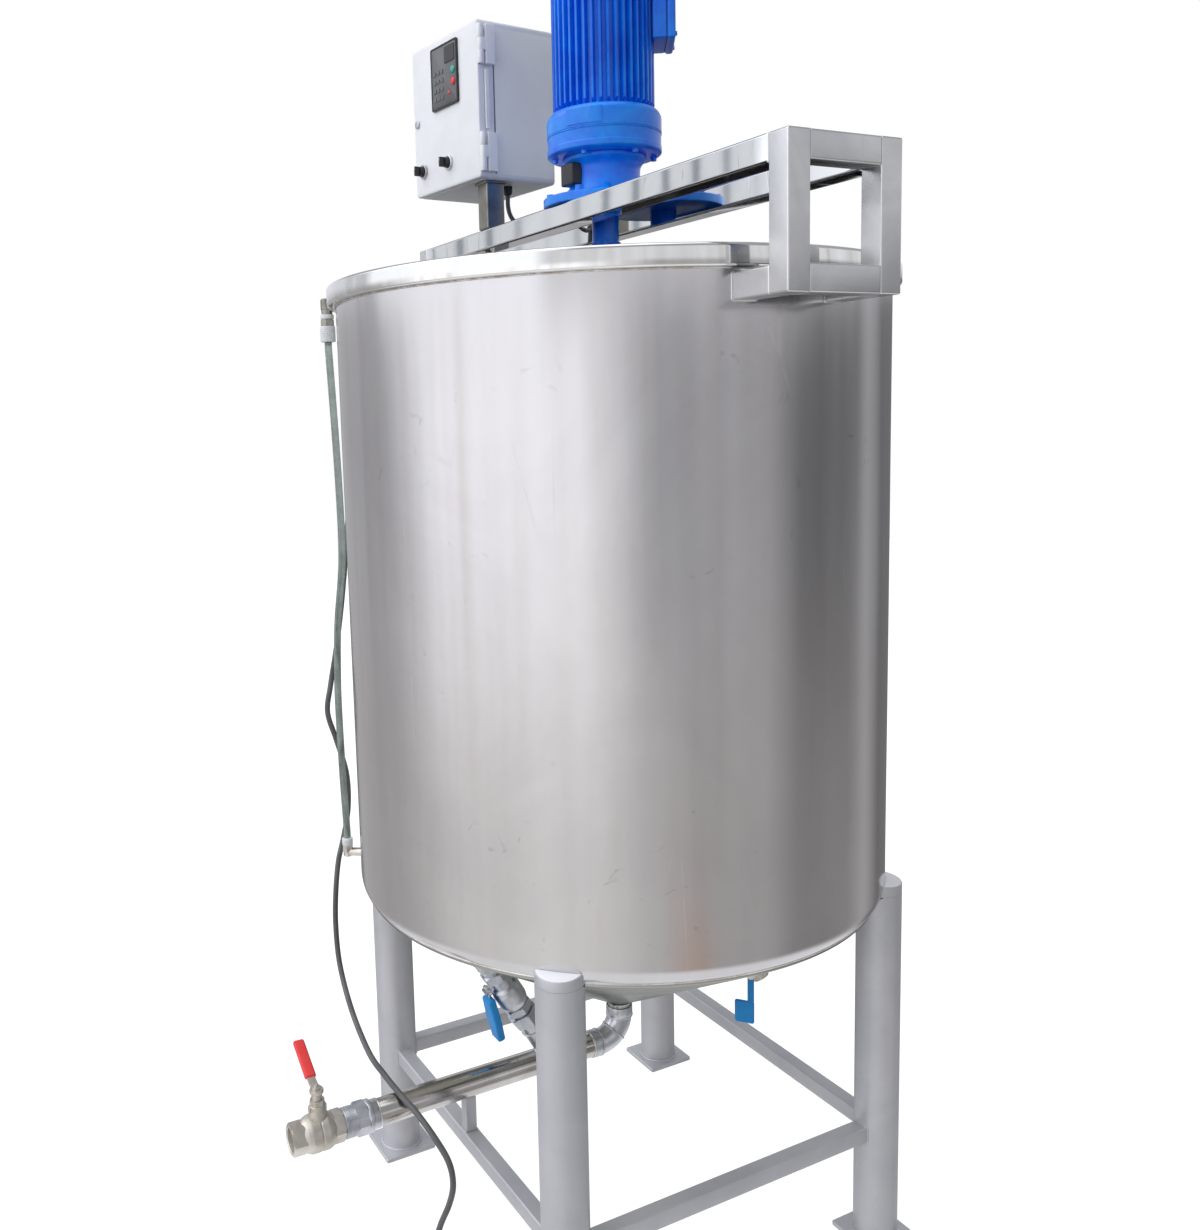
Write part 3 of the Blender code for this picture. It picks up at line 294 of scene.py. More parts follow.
def aimed(shape, direction, origin=(0, 0, 0), hint=(0, 0, 1)):
    """A shape made about Z with its Z along a direction, then moved: p = x side + y up + z aim + o."""
    points, faces = shape
    aim = np.asarray(direction, float) / np.linalg.norm(direction)
    hint = np.asarray(hint if abs(np.dot(aim, hint)) < 0.99 else (1, 0, 0), float)
    side = np.cross(hint, aim)
    side /= np.linalg.norm(side)
    return points @ np.stack([side, np.cross(aim, side), aim]) + np.asarray(origin, float), faces


def around(shape, angle):
    """A shape turned about the Z axis by an angle in radians."""
    points, faces = shape
    c, s = np.cos(angle), np.sin(angle)
    return points @ np.array([[c, s, 0], [-s, c, 0], [0, 0, 1]]), faces


def moved(shape, offset):
    """A shape moved by an offset: p = q + o."""
    return shape[0] + np.asarray(offset, float), shape[1]


# %% Tubes along a path, and boxes with soft edges
def tube(path, radius, sides=20, ring=False, hint=(0, 0, 1)):
    """Circles of one radius, or of one for each point, square to a path: p = P + r (cos a N + sin a B)."""
    path = np.asarray(path, float)
    if ring:
        ahead = np.roll(path, -1, axis=0) - np.roll(path, 1, axis=0)
    else:
        ahead = np.gradient(path, axis=0)
    ahead /= np.linalg.norm(ahead, axis=1, keepdims=True)
    n = np.cross(ahead, hint)
    n /= np.linalg.norm(n, axis=1, keepdims=True)
    b = np.cross(ahead, n)
    a = np.linspace(0, 2 * np.pi, sides, endpoint=False)[None, :, None]
    radius = np.broadcast_to(radius, len(path))[:, None, None]
    return loft(path[:, None] + radius * (np.cos(a) * n[:, None] + np.sin(a) * b[:, None]), ring)


def soft_box(low, high, edge=0.002, arc=3, cells=1):
    """Box with round edges: a point q on the plain box is moved to c + e (q - c) / |q - c|, where c
    is q clipped to the box that is e smaller on every side."""
    low, high = np.asarray(low, float), np.asarray(high, float)
    half, middle = (high - low) / 2, (high + low) / 2
    edge = min(edge, half.min() * 0.98)
    zone = edge * np.tan(np.linspace(0, np.pi / 4, arc + 1))
    shapes = []
    for axis in range(3):
        u, v = (axis + 1) % 3, (axis + 2) % 3
        lines = []
        for k in (u, v):
            inner = half[k] - edge
            between = np.linspace(-inner, inner, cells + 1)[1:-1]
            lines.append(np.concatenate([-inner - zone[::-1], between, inner + zone]))
        grid_u, grid_v = np.meshgrid(*lines, indexing="ij")
        rows, columns = grid_u.shape
        r, c = np.arange(rows - 1)[:, None], np.arange(columns - 1)[None, :]
        quads = np.stack(
            [r * columns + c, r * columns + c + 1, (r + 1) * columns + c + 1, (r + 1) * columns + c], -1
        )
        for sign in (-1, 1):
            q = np.empty((rows * columns, 3))
            q[:, axis], q[:, u], q[:, v] = sign * half[axis], grid_u.ravel(), grid_v.ravel()
            c_in = np.clip(q, edge - half, half - edge)
            d = q - c_in
            q = c_in + edge * d / np.linalg.norm(d, axis=1, keepdims=True)
            faces = quads.reshape(-1, 4)
            shapes.append((q + middle, faces if sign < 0 else faces[:, ::-1]))
    return joined(*shapes)


# %% Nuts, bolts, weld beads and rounded plates
def hexagon(across, low, high, steps=48):
    """Hexagon bar with turned-down corners: r = a / cos(t mod 60 - 30), and above r = 1.03 a the end
    faces fall away by 0.58 of the rest."""
    a = across / 2
    t = np.linspace(0, 2 * np.pi, steps, endpoint=False)
    r = a / np.cos(np.mod(t, np.pi / 3) - np.pi / 6)
    flat = np.minimum(r, 1.03 * a)
    fall = 0.58 * (r - flat)
    loops = []
    for radius, height in ((flat, low + 0 * t), (r, low + fall), (r, high - fall), (flat, high + 0 * t)):
        loops.append(np.stack([radius * np.cos(t), radius * np.sin(t), height], -1))
    return loft(loops)


def bolt(across, place, aim=(0, 0, 1)):
    """Washer and hexagon head that stand on a point along an aim."""
    washer = rod(across * 0.68, 0, across * 0.12, 0.0004, 2, 24)
    head = hexagon(across, across * 0.12, across * 0.68, 24)
    return aimed(joined(washer, head), aim, place)


def bead(path, radius, ripple, ring=True, hint=(0, 0, 1), sides=8):
    """Weld bead: a thin tube whose radius swells once per ripple length: r = R (1 + 0.16 |sin|)."""
    path = np.asarray(path, float)
    step = np.linalg.norm(np.diff(path, axis=0), axis=1)
    along = np.concatenate([[0], np.cumsum(step)])
    return tube(path, radius * (0.92 + 0.16 * np.abs(np.sin(np.pi * along / ripple))), sides, ring, hint)


def circle(radius, height, steps=192, start=0.0, sweep=2 * np.pi):
    """Points on a level circle about Z: a full turn, or with both ends on a part of one."""
    full = sweep > 6.28
    t = start + np.linspace(0, sweep, steps, endpoint=not full)
    return np.stack([radius * np.cos(t), radius * np.sin(t), np.full(steps, height)], -1)


def round_rectangle(half_a, half_b, corner, arc=5):
    """Loop of a rectangle with round corners, as (points, 2)."""
    corner = min(corner, half_a * 0.999, half_b * 0.999)
    quarter = np.linspace(0, np.pi / 2, arc + 1)
    centres = np.array([(1, 1), (-1, 1), (-1, -1), (1, -1)]) * [half_a - corner, half_b - corner]
    angles = quarter[None] + np.arange(4)[:, None] * np.pi / 2
    return (centres[:, None] + corner * np.stack([np.cos(angles), np.sin(angles)], -1)).reshape(-1, 2)


def plate(half_a, half_b, corner, rows, ring=False):
    """Rounded plate or tray about Z: each row (height, inset) is the rounded rectangle drawn in by
    the inset at that height."""
    loops = []
    for height, inset in rows:
        flat = round_rectangle(half_a - inset, half_b - inset, max(corner - inset, 0.0006))
        loops.append(np.column_stack([flat, np.full(len(flat), height)]))
    return loft(loops, ring)


# %% Making the finished object of a shape
def piece(name, shape, finish, body="tank", instead=(), sharp=32):
    """One object at the origin: points that agree to a micrometre are merged, quads that lost a
    corner become triangles, and the piece rides on its body."""
    points, faces = shape
    points, number = np.unique(np.round(points + [AXIS_X, 0, 0], 6), axis=0, return_inverse=True)
    faces = number.reshape(-1)[faces]
    same = faces == np.roll(faces, -1, axis=1)
    lost = same.sum(1)
    quads = faces[lost == 0]
    first = same[lost == 1].argmax(1)
    order = (first[:, None] + np.arange(1, 4)) % 4
    triangles = np.take_along_axis(faces[lost == 1], order, axis=1)
    mesh = bpy.data.meshes.new(name)
    mesh.from_pydata(points.tolist(), [], quads.tolist() + triangles.tolist())
    mesh.update()
    mesh.shade_smooth()
    mesh.set_sharp_from_angle(angle=np.radians(sharp))
    mesh.materials.append(finish)
    made = bpy.data.objects.new(name, mesh)
    bpy.context.scene.collection.objects.link(made)
    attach(made, body)
    if instead:
        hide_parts(*instead)
    return made


print("shape functions ready")

# %% [markdown]
# ## Finishes
# Rolled stainless sheet, mirror-polished tube, painted pipe and cast steel differ in how
# rough they are and in which direction their marks run. The marks come from three node
# groups: a grain that can be stretched, the blotches and scuffs of handling, and fine
# scratches. Each material places them with its own values.

# %% Helpers for node trees
def new_group(name, inputs, outputs):
    """A shader node group with named value inputs and outputs."""
    group = bpy.data.node_groups.new(name, "ShaderNodeTree")
    for label, kind, value in inputs:
        socket = group.interface.new_socket(label, in_out="INPUT", socket_type=kind)
        if value is not None:
            socket.default_value = value
    for label, kind in outputs:
        group.interface.new_socket(label, in_out="OUTPUT", socket_type=kind)
    return group, group.nodes.new("NodeGroupInput"), group.nodes.new("NodeGroupOutput")


def add(tree, kind, links=(), **values):
    """A node of a kind; values name its properties or its input sockets, links feed its inputs."""
    made = tree.nodes.new("ShaderNode" + kind)
    for key, value in values.items():
        if hasattr(made, key):
            setattr(made, key, value)
        else:
            made.inputs[key.replace("_", " ")].default_value = value
    for socket, source in dict(links).items():
        tree.links.new(source, made.inputs[socket])
    return made


def math_node(tree, operation, *inputs):
    """A Math node whose inputs are numbers or sockets; gives its output."""
    made = tree.nodes.new("ShaderNodeMath")
    made.operation = operation
    for index, value in enumerate(inputs):
        if isinstance(value, (int, float)):
            made.inputs[index].default_value = value
        else:
            tree.links.new(value, made.inputs[index])
    return made.outputs[0]


def ramp(tree, source, stops, smooth=False):
    """A colour ramp; each stop is (position, colour) and a colour is a grey or three numbers."""
    made = tree.nodes.new("ShaderNodeValToRGB")
    made.color_ramp.interpolation = "B_SPLINE" if smooth else "LINEAR"
    elements = made.color_ramp.elements
    while len(elements) < len(stops):
        elements.new(0.5)
    for element, (position, colour) in zip(elements, sorted(stops, key=lambda stop: stop[0])):
        element.position = position
        colour = (colour,) * 3 if isinstance(colour, (int, float)) else colour
        element.color = (*colour, 1.0)
    tree.links.new(source, made.inputs[0])
    return made.outputs[0]


def blend(tree, factor, low, high, mode="MIX"):
    """Mix of two colours; each is a colour or a socket."""
    made = tree.nodes.new("ShaderNodeMix")
    made.data_type, made.blend_type = "RGBA", mode
    for index, value in ((0, factor), (6, low), (7, high)):
        if isinstance(value, bpy.types.NodeSocket):
            tree.links.new(value, made.inputs[index])
        else:
            made.inputs[index].default_value = value if index == 0 else (*value, 1.0)
    return made.outputs[2]


def srgb(*levels):
    """Linear colour of 0-255 display levels."""
    v = np.array(levels) / 255
    return tuple(float(x) for x in np.where(v < 0.04045, v / 12.92, ((v + 0.055) / 1.055) ** 2.4))


# %% Node groups: stretched grain, handling marks and scratches
grain_group, gi, go = new_group(
    "stretched grain",
    [("Stretch", "NodeSocketVector", (1, 1, 1)), ("Fineness", "NodeSocketFloat", 120.0)],
    [("Height", "NodeSocketFloat"), ("Cloud", "NodeSocketFloat")],
)
place = add(grain_group, "TexCoord").outputs["Object"]
stretched = add(
    grain_group, "VectorMath", {0: place, 1: gi.outputs["Stretch"]}, operation="MULTIPLY"
).outputs[0]
fine = add(
    grain_group, "TexNoise", {"Vector": stretched, "Scale": gi.outputs["Fineness"]}, Detail=4.0, Roughness=0.6
)
coarse_scale = math_node(grain_group, "MULTIPLY", gi.outputs["Fineness"], 0.07)
coarse = add(
    grain_group, "TexNoise", {"Vector": stretched, "Scale": coarse_scale}, Detail=3.0, Roughness=0.55
)
grain_group.links.new(fine.outputs[0], go.inputs["Height"])
grain_group.links.new(coarse.outputs[0], go.inputs["Cloud"])

marks_group, mi, mo = new_group(
    "handling marks",
    [("Blotch Scale", "NodeSocketFloat", 3.0), ("Scuff Scale", "NodeSocketFloat", 26.0)],
    [("Blotch", "NodeSocketFloat"), ("Scuff", "NodeSocketFloat"), ("Smear", "NodeSocketFloat")],
)
place = add(marks_group, "TexCoord").outputs["Object"]
blotch = add(
    marks_group, "TexNoise", {"Vector": place, "Scale": mi.outputs["Blotch Scale"]}, Detail=5.0,
    Roughness=0.62, Distortion=0.6
)
marks_group.links.new(ramp(marks_group, blotch.outputs[0], [(0.38, 0.0), (0.62, 1.0)]), mo.inputs["Blotch"])
scuff = add(
    marks_group, "TexNoise", {"Vector": place, "Scale": mi.outputs["Scuff Scale"]}, Detail=6.0, Roughness=0.7,
    Distortion=1.2
)
spots = ramp(marks_group, scuff.outputs[0], [(0.62, 0.0), (0.70, 1.0)])
where = add(marks_group, "TexNoise", {"Vector": place}, Scale=2.3, Detail=2.0)
patches = ramp(marks_group, where.outputs[0], [(0.50, 0.0), (0.60, 1.0)])
marks_group.links.new(math_node(marks_group, "MULTIPLY", spots, patches), mo.inputs["Scuff"])
smear_place = add(marks_group, "VectorMath", {0: place}, operation="MULTIPLY")
smear_place.inputs[1].default_value = (1.0, 1.0, 0.35)
smear = add(
    marks_group, "TexNoise", {"Vector": smear_place.outputs[0]}, Scale=7.0, Detail=6.0, Roughness=0.66,
    Distortion=1.6
)
marks_group.links.new(smear.outputs[0], mo.inputs["Smear"])

scratch_group, si, so = new_group(
    "fine scratches",
    [("Scale", "NodeSocketFloat", 9.0), ("Turn", "NodeSocketVector", (0, 0, 0.6))],
    [("Line", "NodeSocketFloat")],
)
place = add(scratch_group, "TexCoord").outputs["Object"]
turned_place = add(scratch_group, "Mapping", {"Vector": place, "Rotation": si.outputs["Turn"]})
turned_place.inputs["Scale"].default_value = (1.0, 1.0, 0.16)
cells = add(
    scratch_group, "TexVoronoi", {"Vector": turned_place.outputs[0], "Scale": si.outputs["Scale"]},
    feature="DISTANCE_TO_EDGE"
)
line = ramp(scratch_group, cells.outputs["Distance"], [(0.0, 1.0), (0.012, 0.0)])
seldom = add(scratch_group, "TexNoise", {"Vector": place}, Scale=5.0, Detail=3.0)
rare = ramp(scratch_group, seldom.outputs[0], [(0.52, 0.0), (0.62, 1.0)])
scratch_group.links.new(math_node(scratch_group, "MULTIPLY", line, rare), so.inputs["Line"])
print("node groups:", [group.name for group in bpy.data.node_groups])


# %% A material with a place for its marks
def finish_of(name, **settings):
    """A Principled material; its uniform values are set directly on the shader's sockets."""
    made = bpy.data.materials.new(name)
    made.use_nodes = True
    tree = made.node_tree
    shader = tree.nodes["Principled BSDF"]
    for key, value in settings.items():
        shader.inputs[key.replace("_", " ")].default_value = value
    return made, tree, shader


def use(tree, group, **values):
    """A node group placed in a material with its own values."""
    made = tree.nodes.new("ShaderNodeGroup")
    made.node_tree = group
    for key, value in values.items():
        made.inputs[key.replace("_", " ")].default_value = value
    return made


def bump(tree, shader, height, distance):
    """A Bump node between a height and the shader's normal; the distance is in metres."""
    made = tree.nodes.new("ShaderNodeBump")
    made.inputs["Strength"].default_value = 1.0
    made.inputs["Distance"].default_value = distance
    tree.links.new(height, made.inputs["Height"])
    tree.links.new(made.outputs[0], shader.inputs["Normal"])


def metal(
    name, light, dark, low, high, stretch=(1, 1, 1), fineness=120.0, depth=0.00004, blotch=3.0, stain=None,
    streak=0.0
):
    """Metal whose colour lies between two tones by its blotches and whose roughness lies between two
    values by the coarse part of its grain; scuffs darken it, scratches cut into it."""
    made, tree, shader = finish_of(name, Metallic=1.0)
    grain = use(tree, grain_group, Stretch=stretch, Fineness=fineness)
    marks = use(tree, marks_group, Blotch_Scale=blotch)
    scratches = use(tree, scratch_group)
    colour = blend(tree, marks.outputs["Blotch"], light, dark)
    if stain:
        share = math_node(tree, "MULTIPLY", marks.outputs["Smear"], stain[1])
        colour = blend(tree, share, colour, stain[0])
    if streak:
        tone = ramp(tree, grain.outputs["Cloud"], [(0.35, 1.0 - streak), (0.65, 1.0 + streak)])
        colour = blend(tree, 1.0, colour, tone, "MULTIPLY")
    scuffed = math_node(tree, "MULTIPLY", marks.outputs["Scuff"], 0.35)
    colour = blend(tree, scuffed, colour, tuple(0.45 * v for v in dark))
    tree.links.new(colour, shader.inputs["Base Color"])
    span = tree.nodes.new("ShaderNodeMapRange")
    span.inputs["From Min"].default_value, span.inputs["From Max"].default_value = 0.3, 0.7
    span.inputs["To Min"].default_value, span.inputs["To Max"].default_value = low, high
    tree.links.new(grain.outputs["Cloud"], span.inputs["Value"])
    rough = math_node(
        tree, "ADD", span.outputs[0], math_node(tree, "MULTIPLY", scratches.outputs["Line"], 0.12)
    )
    tree.links.new(rough, shader.inputs["Roughness"])
    height = math_node(
        tree, "SUBTRACT", grain.outputs["Height"], math_node(tree, "MULTIPLY", scratches.outputs["Line"], 0.6)
    )
    bump(tree, shader, height, depth)
    return made, tree, shader


# %% [markdown]
# ## Metals from one recipe
# All bare metal on the tank is the same steel, so one recipe makes it and only its tones,
# its roughness and the direction of its grain change. The shell's grain runs upright, that of
# the ground frames runs along x, and the drain's castings have none. The cone is seen almost
# edge-on, where every metal turns into a mirror, so its specular tint takes that shine down;
# its steel is also a darker copy of the wall's. Both are painted shade for the dark underside
# of the vessel.
# The pipe paint is the same recipe with less metal in it, and the leg caps have none: their
# near-white is painted light on the caps' tops.

# %% The metals and the pipe paint
wall_steel, *_ = metal(
    "wall_steel", srgb(212, 212, 212), srgb(203, 203, 204), 0.12, 0.21, (1, 1, 0.05), 150.0, 0.00002, 2.2,
    (srgb(186, 175, 172), 0.34), 0.035,
)  # fmt: skip
# The cone's steel: a darker copy of the wall's steel, painted shade for the vessel's underside.
cone_steel_painted_shade, _, cone_shade_shader = metal(
    "cone_steel_painted_shade", srgb(184, 186, 181), srgb(170, 172, 167), 0.16, 0.28, (1, 1, 1), 150.0, 0.00003, 4.0,
    (srgb(150, 146, 136), 0.30),
)  # fmt: skip
# A low specular tint takes the cone's edge-on shine down: painted shade.
cone_shade_shader.inputs["Specular Tint"].default_value = (0.42, 0.43, 0.41, 1.0)
polished_steel, *_ = metal(
    "polished_steel", srgb(224, 224, 222), srgb(214, 214, 211), 0.04, 0.09, (1, 0.3, 1), 14.0, 0.00006, 6.0
)
mirror_steel, *_ = metal(
    "mirror_steel", srgb(226, 227, 226), srgb(216, 217, 216), 0.02, 0.05, (1, 0.3, 1), 7.0, 0.00006, 6.0
)
ground_steel, *_ = metal(
    "ground_steel", srgb(214, 214, 214), srgb(196, 197, 198), 0.26, 0.40, (0.12, 1, 1), 260.0, 0.00005, 5.0
)
pipe_steel, *_ = metal(
    "pipe_steel", srgb(210, 209, 206), srgb(186, 183, 178), 0.10, 0.20, (0.06, 1, 1), 180.0, 0.00003, 7.0,
    (srgb(172, 158, 146), 0.35),
)  # fmt: skip
cast_steel, *_ = metal(
    "cast_steel", srgb(222, 217, 208), srgb(190, 184, 172), 0.34, 0.52, (1, 1, 1), 420.0, 0.00025, 14.0
)
matt_steel, *_ = metal(
    "matt_steel", srgb(214, 216, 219), srgb(178, 181, 185), 0.28, 0.44, (1, 1, 1), 160.0, 0.00012, 16.0
)
weld_steel, *_ = metal(
    "weld_steel", srgb(222, 220, 218), srgb(188, 178, 166), 0.22, 0.36, (1, 1, 1), 300.0, 0.00015, 30.0
)
silver_paint, _, silver_shader = metal(
    "silver_paint", srgb(206, 206, 209), srgb(196, 197, 200), 0.36, 0.46, (1, 1, 0.12), 200.0, 0.00004, 5.0
)
silver_shader.inputs["Metallic"].default_value = 0.40
# The leg caps' finish: a near-white copy of the leg paint without metal, painted light on the caps' tops.
cap_painted_light, _, cap_light_shader = metal(
    "cap_painted_light", srgb(252, 252, 254), srgb(246, 246, 249), 0.45, 0.55, (1, 1, 1), 200.0, 0.00004, 9.0
)
cap_light_shader.inputs["Metallic"].default_value = 0.0
dull_steel, *_ = metal(
    "dull_steel", srgb(158, 156, 148), srgb(122, 119, 110), 0.26, 0.42, (1, 1, 0.1), 160.0, 0.00006, 9.0
)


# %% [markdown]
# ## Coatings
# Paint, plastic and rubber are not metal: their colour lies in the body of the coating, and a
# faint orange peel breaks the reflection on top. The drive is sprayed in a deep blue. The
# castings under the motor get a brighter copy of that blue: painted light on the gearbox and
# its mount.

# %% Paint, plastic and rubber
def coating(name, light, dark, low, high, peel=0.00006, peel_scale=900.0, wear=None, **settings):
    """Coloured coating: two tones by blotches, a fine orange peel, and scuffs that show another colour."""
    made, tree, shader = finish_of(name, **settings)
    marks = use(tree, marks_group, Blotch_Scale=9.0, Scuff_Scale=60.0)
    colour = blend(tree, marks.outputs["Blotch"], light, dark)
    if wear:
        share = math_node(tree, "MULTIPLY", marks.outputs["Scuff"], wear[1])
        colour = blend(tree, share, colour, wear[0])
    tree.links.new(colour, shader.inputs["Base Color"])
    span = tree.nodes.new("ShaderNodeMapRange")
    span.inputs["To Min"].default_value, span.inputs["To Max"].default_value = low, high
    tree.links.new(marks.outputs["Smear"], span.inputs["Value"])
    tree.links.new(span.outputs[0], shader.inputs["Roughness"])
    grain = use(tree, grain_group, Fineness=peel_scale)
    bump(tree, shader, grain.outputs["Height"], peel)
    return made


blue_paint = coating(
    "blue_paint", srgb(0, 130, 244), srgb(0, 98, 224), 0.30, 0.45, 0.00010, 500.0, (srgb(40, 120, 200), 0.4),
    Specular_IOR_Level=0.25, Coat_Weight=0.35, Coat_Roughness=0.12,
)  # fmt: skip
# A brighter copy of the drive's blue for the gearbox and its mount: painted light.
gear_paint_lit = coating(
    "gear_paint_lit", srgb(0, 152, 254), srgb(0, 112, 240), 0.30, 0.45, 0.00010, 500.0, (srgb(40, 140, 220), 0.4),
    Specular_IOR_Level=0.3, Coat_Weight=0.40, Coat_Roughness=0.12,
)  # fmt: skip
box_paint = coating(
    "box_paint", srgb(242, 244, 244), srgb(237, 239, 240), 0.34, 0.46, 0.00010, 900.0,
    (srgb(150, 150, 150), 0.4)
)
# A brighter copy of the box's white for the side plates: painted light on the box's sides.
side_paint_lit = coating(
    "side_paint_lit", srgb(252, 253, 244), srgb(246, 248, 238), 0.30, 0.40, 0.00010, 900.0,
    (srgb(150, 150, 150), 0.4)
)
# The hinges' white is pushed to full white: painted light on the hinge leaves, brighter than the box's own
# white.
hinge_paint_lit = coating(
    "hinge_paint_lit", srgb(255, 255, 250), srgb(248, 249, 244), 0.40, 0.55, 0.00006, 900.0,
    (srgb(120, 120, 120), 0.5)
)
red_sleeve = coating("red_sleeve", srgb(244, 66, 62), srgb(230, 54, 52), 0.34, 0.5, 0.0001, 400.0)
blue_sleeve = coating("blue_sleeve", srgb(36, 160, 232), srgb(28, 144, 220), 0.34, 0.5, 0.0001, 400.0)
black_plastic = coating("black_plastic", srgb(44, 44, 48), srgb(32, 32, 35), 0.32, 0.5, 0.00006, 1200.0)
grey_plastic = coating("grey_plastic", srgb(168, 172, 178), srgb(150, 154, 160), 0.30, 0.44, 0.00005, 900.0)
green_plastic = coating("green_plastic", srgb(60, 186, 160), srgb(48, 166, 142), 0.25, 0.4, 0.00004, 900.0)
panel_film = coating("panel_film", srgb(104, 104, 106), srgb(92, 92, 94), 0.35, 0.5, 0.00004, 900.0)
white_plastic = coating("white_plastic", srgb(236, 238, 238), srgb(222, 226, 226), 0.24, 0.38, 0.00005, 900.0)
cable_rubber = coating(
    "cable_rubber", srgb(108, 108, 108), srgb(86, 86, 87), 0.42, 0.6, 0.00008, 700.0,
    (srgb(130, 126, 120), 0.5)
)
clear_tube, clear_tree, clear_shader = finish_of(
    "clear_tube", Transmission_Weight=0.75, IOR=1.42, Base_Color=(*srgb(214, 226, 220), 1.0)
)
clear_marks = use(clear_tree, marks_group, Blotch_Scale=30.0)
clear_tree.links.new(
    blend(clear_tree, clear_marks.outputs["Blotch"], srgb(206, 222, 214), srgb(186, 196, 188)),
    clear_shader.inputs["Base Color"]
)
clear_tree.links.new(
    math_node(clear_tree, "MULTIPLY", clear_marks.outputs["Smear"], 0.35), clear_shader.inputs["Roughness"]
)
print("finishes:", len(bpy.data.materials))

# %% [markdown]
# ## The room in the steel
# Polished steel shows its surroundings, so the studio is four rings of soft light, one above
# the other: below the horizon, at it, a little over it, and high up. Each ring is a colour
# ramp over the compass direction: one base grey and up to three broad areas, planned as a
# lighting crew plans walls and lamps, from a palette of five greys in one tint. The four are mixed by height. A row of thin dark lines
# stands at the back left, where a hall would have its windows: the mirror-polished beam
# shows them as panels. The camera itself sees plain white.

# %% World: four rings of soft light
world = bpy.data.worlds.new("studio")
bpy.context.scene.world = world
world.use_nodes = True
sky = world.node_tree
sky.nodes.clear()
compass = add(sky, "TexCoord").outputs["Generated"]
split = add(sky, "SeparateXYZ", {0: compass})
turn = math_node(sky, "ARCTAN2", split.outputs["Y"], split.outputs["X"])
share = math_node(sky, "FRACT", math_node(sky, "ADD", math_node(sky, "DIVIDE", turn, 2 * np.pi), 1.0))
STEEL_GAIN, TOP_GAIN = 1.62, 2.5
WINDOW_START, WINDOW_STEP = 123.89, 1.42


WHITE, PALE, GREY, DIM, DARK = 240, 195, 150, 120, 95


def ring_stops(base, areas, gain, tint):
    """Stops of a ring: a base grey, and areas (from, to, grey, soft) whose grey runs out to the base
    over the soft degrees on either side. The ring starts and ends on the base, so it closes."""
    rows = [(0, base)]
    for low, high, level, soft in areas:
        rows += [(low - soft, base), (low, level), (high, level), (high + soft, base)]
    rows.append((360, base))
    return [(degrees / 360, tuple(gain * srgb(level)[0] * v for v in tint)) for degrees, level in rows]


# Compass degrees, from and to, in steps of 15: a dark corner at the back right, a white wall
# on the left and a dark doorway at the front right.
LEVEL_AREAS = [(15, 45, DARK, 15), (165, 225, WHITE, 30), (315, 345, DARK, 15)]
# The floor under them: the corner, the white wall's glow and the doorway's foot.
LOW_AREAS = [(15, 75, DARK, 15), (180, 225, PALE, 45), (315, 345, DIM, 15)]
# The upper white wall, and one large lamp high over the left side.
HIGH_AREAS = [(135, 210, WHITE, 5)]
TOP_AREAS = [(135, 195, WHITE, 30)]
COOL, WARM = (0.97, 0.99, 1.06), (1.02, 1.00, 1.00)


def by_height(low, high):
    """Share from 0 to 1 as the direction's height goes from low to high, with soft ends."""
    made = add(sky, "MapRange", {0: split.outputs["Z"]}, interpolation_type="SMOOTHSTEP")
    for index, value in ((1, low), (2, high), (3, 0.0), (4, 1.0)):
        made.inputs[index].default_value = value
    return made.outputs[0]


low_ring = ramp(sky, share, ring_stops(GREY, LOW_AREAS, STEEL_GAIN, WARM))
level_ring = ramp(sky, share, ring_stops(GREY, LEVEL_AREAS, STEEL_GAIN, COOL))
high_ring = ramp(sky, share, ring_stops(PALE, HIGH_AREAS, STEEL_GAIN, COOL))
top_ring = ramp(sky, share, ring_stops(DIM, TOP_AREAS, TOP_GAIN, COOL))
print("areas:", len(LOW_AREAS), len(LEVEL_AREAS), len(HIGH_AREAS), len(TOP_AREAS))

# %% Window bars in the high ring, and streaks of light and shade
degrees = math_node(sky, "MULTIPLY", share, 360.0)
from_first = math_node(sky, "SUBTRACT", degrees, WINDOW_START)
phase = math_node(sky, "FRACT", math_node(sky, "DIVIDE", from_first, WINDOW_STEP))
gap = math_node(sky, "ABSOLUTE", math_node(sky, "SUBTRACT", phase, 0.5))
bar = ramp(sky, gap, [(0.09, (0.26, 0.30, 0.32)), (0.14, (1.0, 1.0, 1.0))])
BESIDE_WINDOWS = (
    (112, 1.0), (113, 0.0), (119.4, 0.0), (119.6, 1.0), (121.5, 1.0), (121.6, 0.0), (129.3, 0.0), (129.5, 1.0)
)
beside = ramp(sky, share, [(angle / 360, value) for angle, value in BESIDE_WINDOWS])
windows = blend(sky, beside, bar, (1.0, 1.0, 1.0))
high_ring = blend(sky, 1.0, high_ring, windows, "MULTIPLY")
along_ring = add(sky, "CombineXYZ", {0: math_node(sky, "MULTIPLY", share, 60.0)}).outputs[0]
streaks = add(sky, "TexNoise", {"Vector": along_ring}, Scale=1.0, Detail=4.0, Roughness=0.65)
streak_tone = ramp(
    sky, streaks.outputs[0],
    [
        (0.30, (0.56, 0.50, 0.44)), (0.44, (0.96, 0.92, 0.88)), (0.60, (1.10, 1.10, 1.10)),
        (0.75, (0.80, 0.74, 0.70))
    ]
)
level_ring = blend(sky, 1.0, level_ring, streak_tone, "MULTIPLY")
front = ramp(sky, share, [(212 / 360, 0.0), (222 / 360, 0.8), (352 / 360, 0.8), (358 / 360, 0.0)])
high_ring = blend(sky, 1.0, high_ring, blend(sky, front, (1.0, 1.0, 1.0), streak_tone), "MULTIPLY")

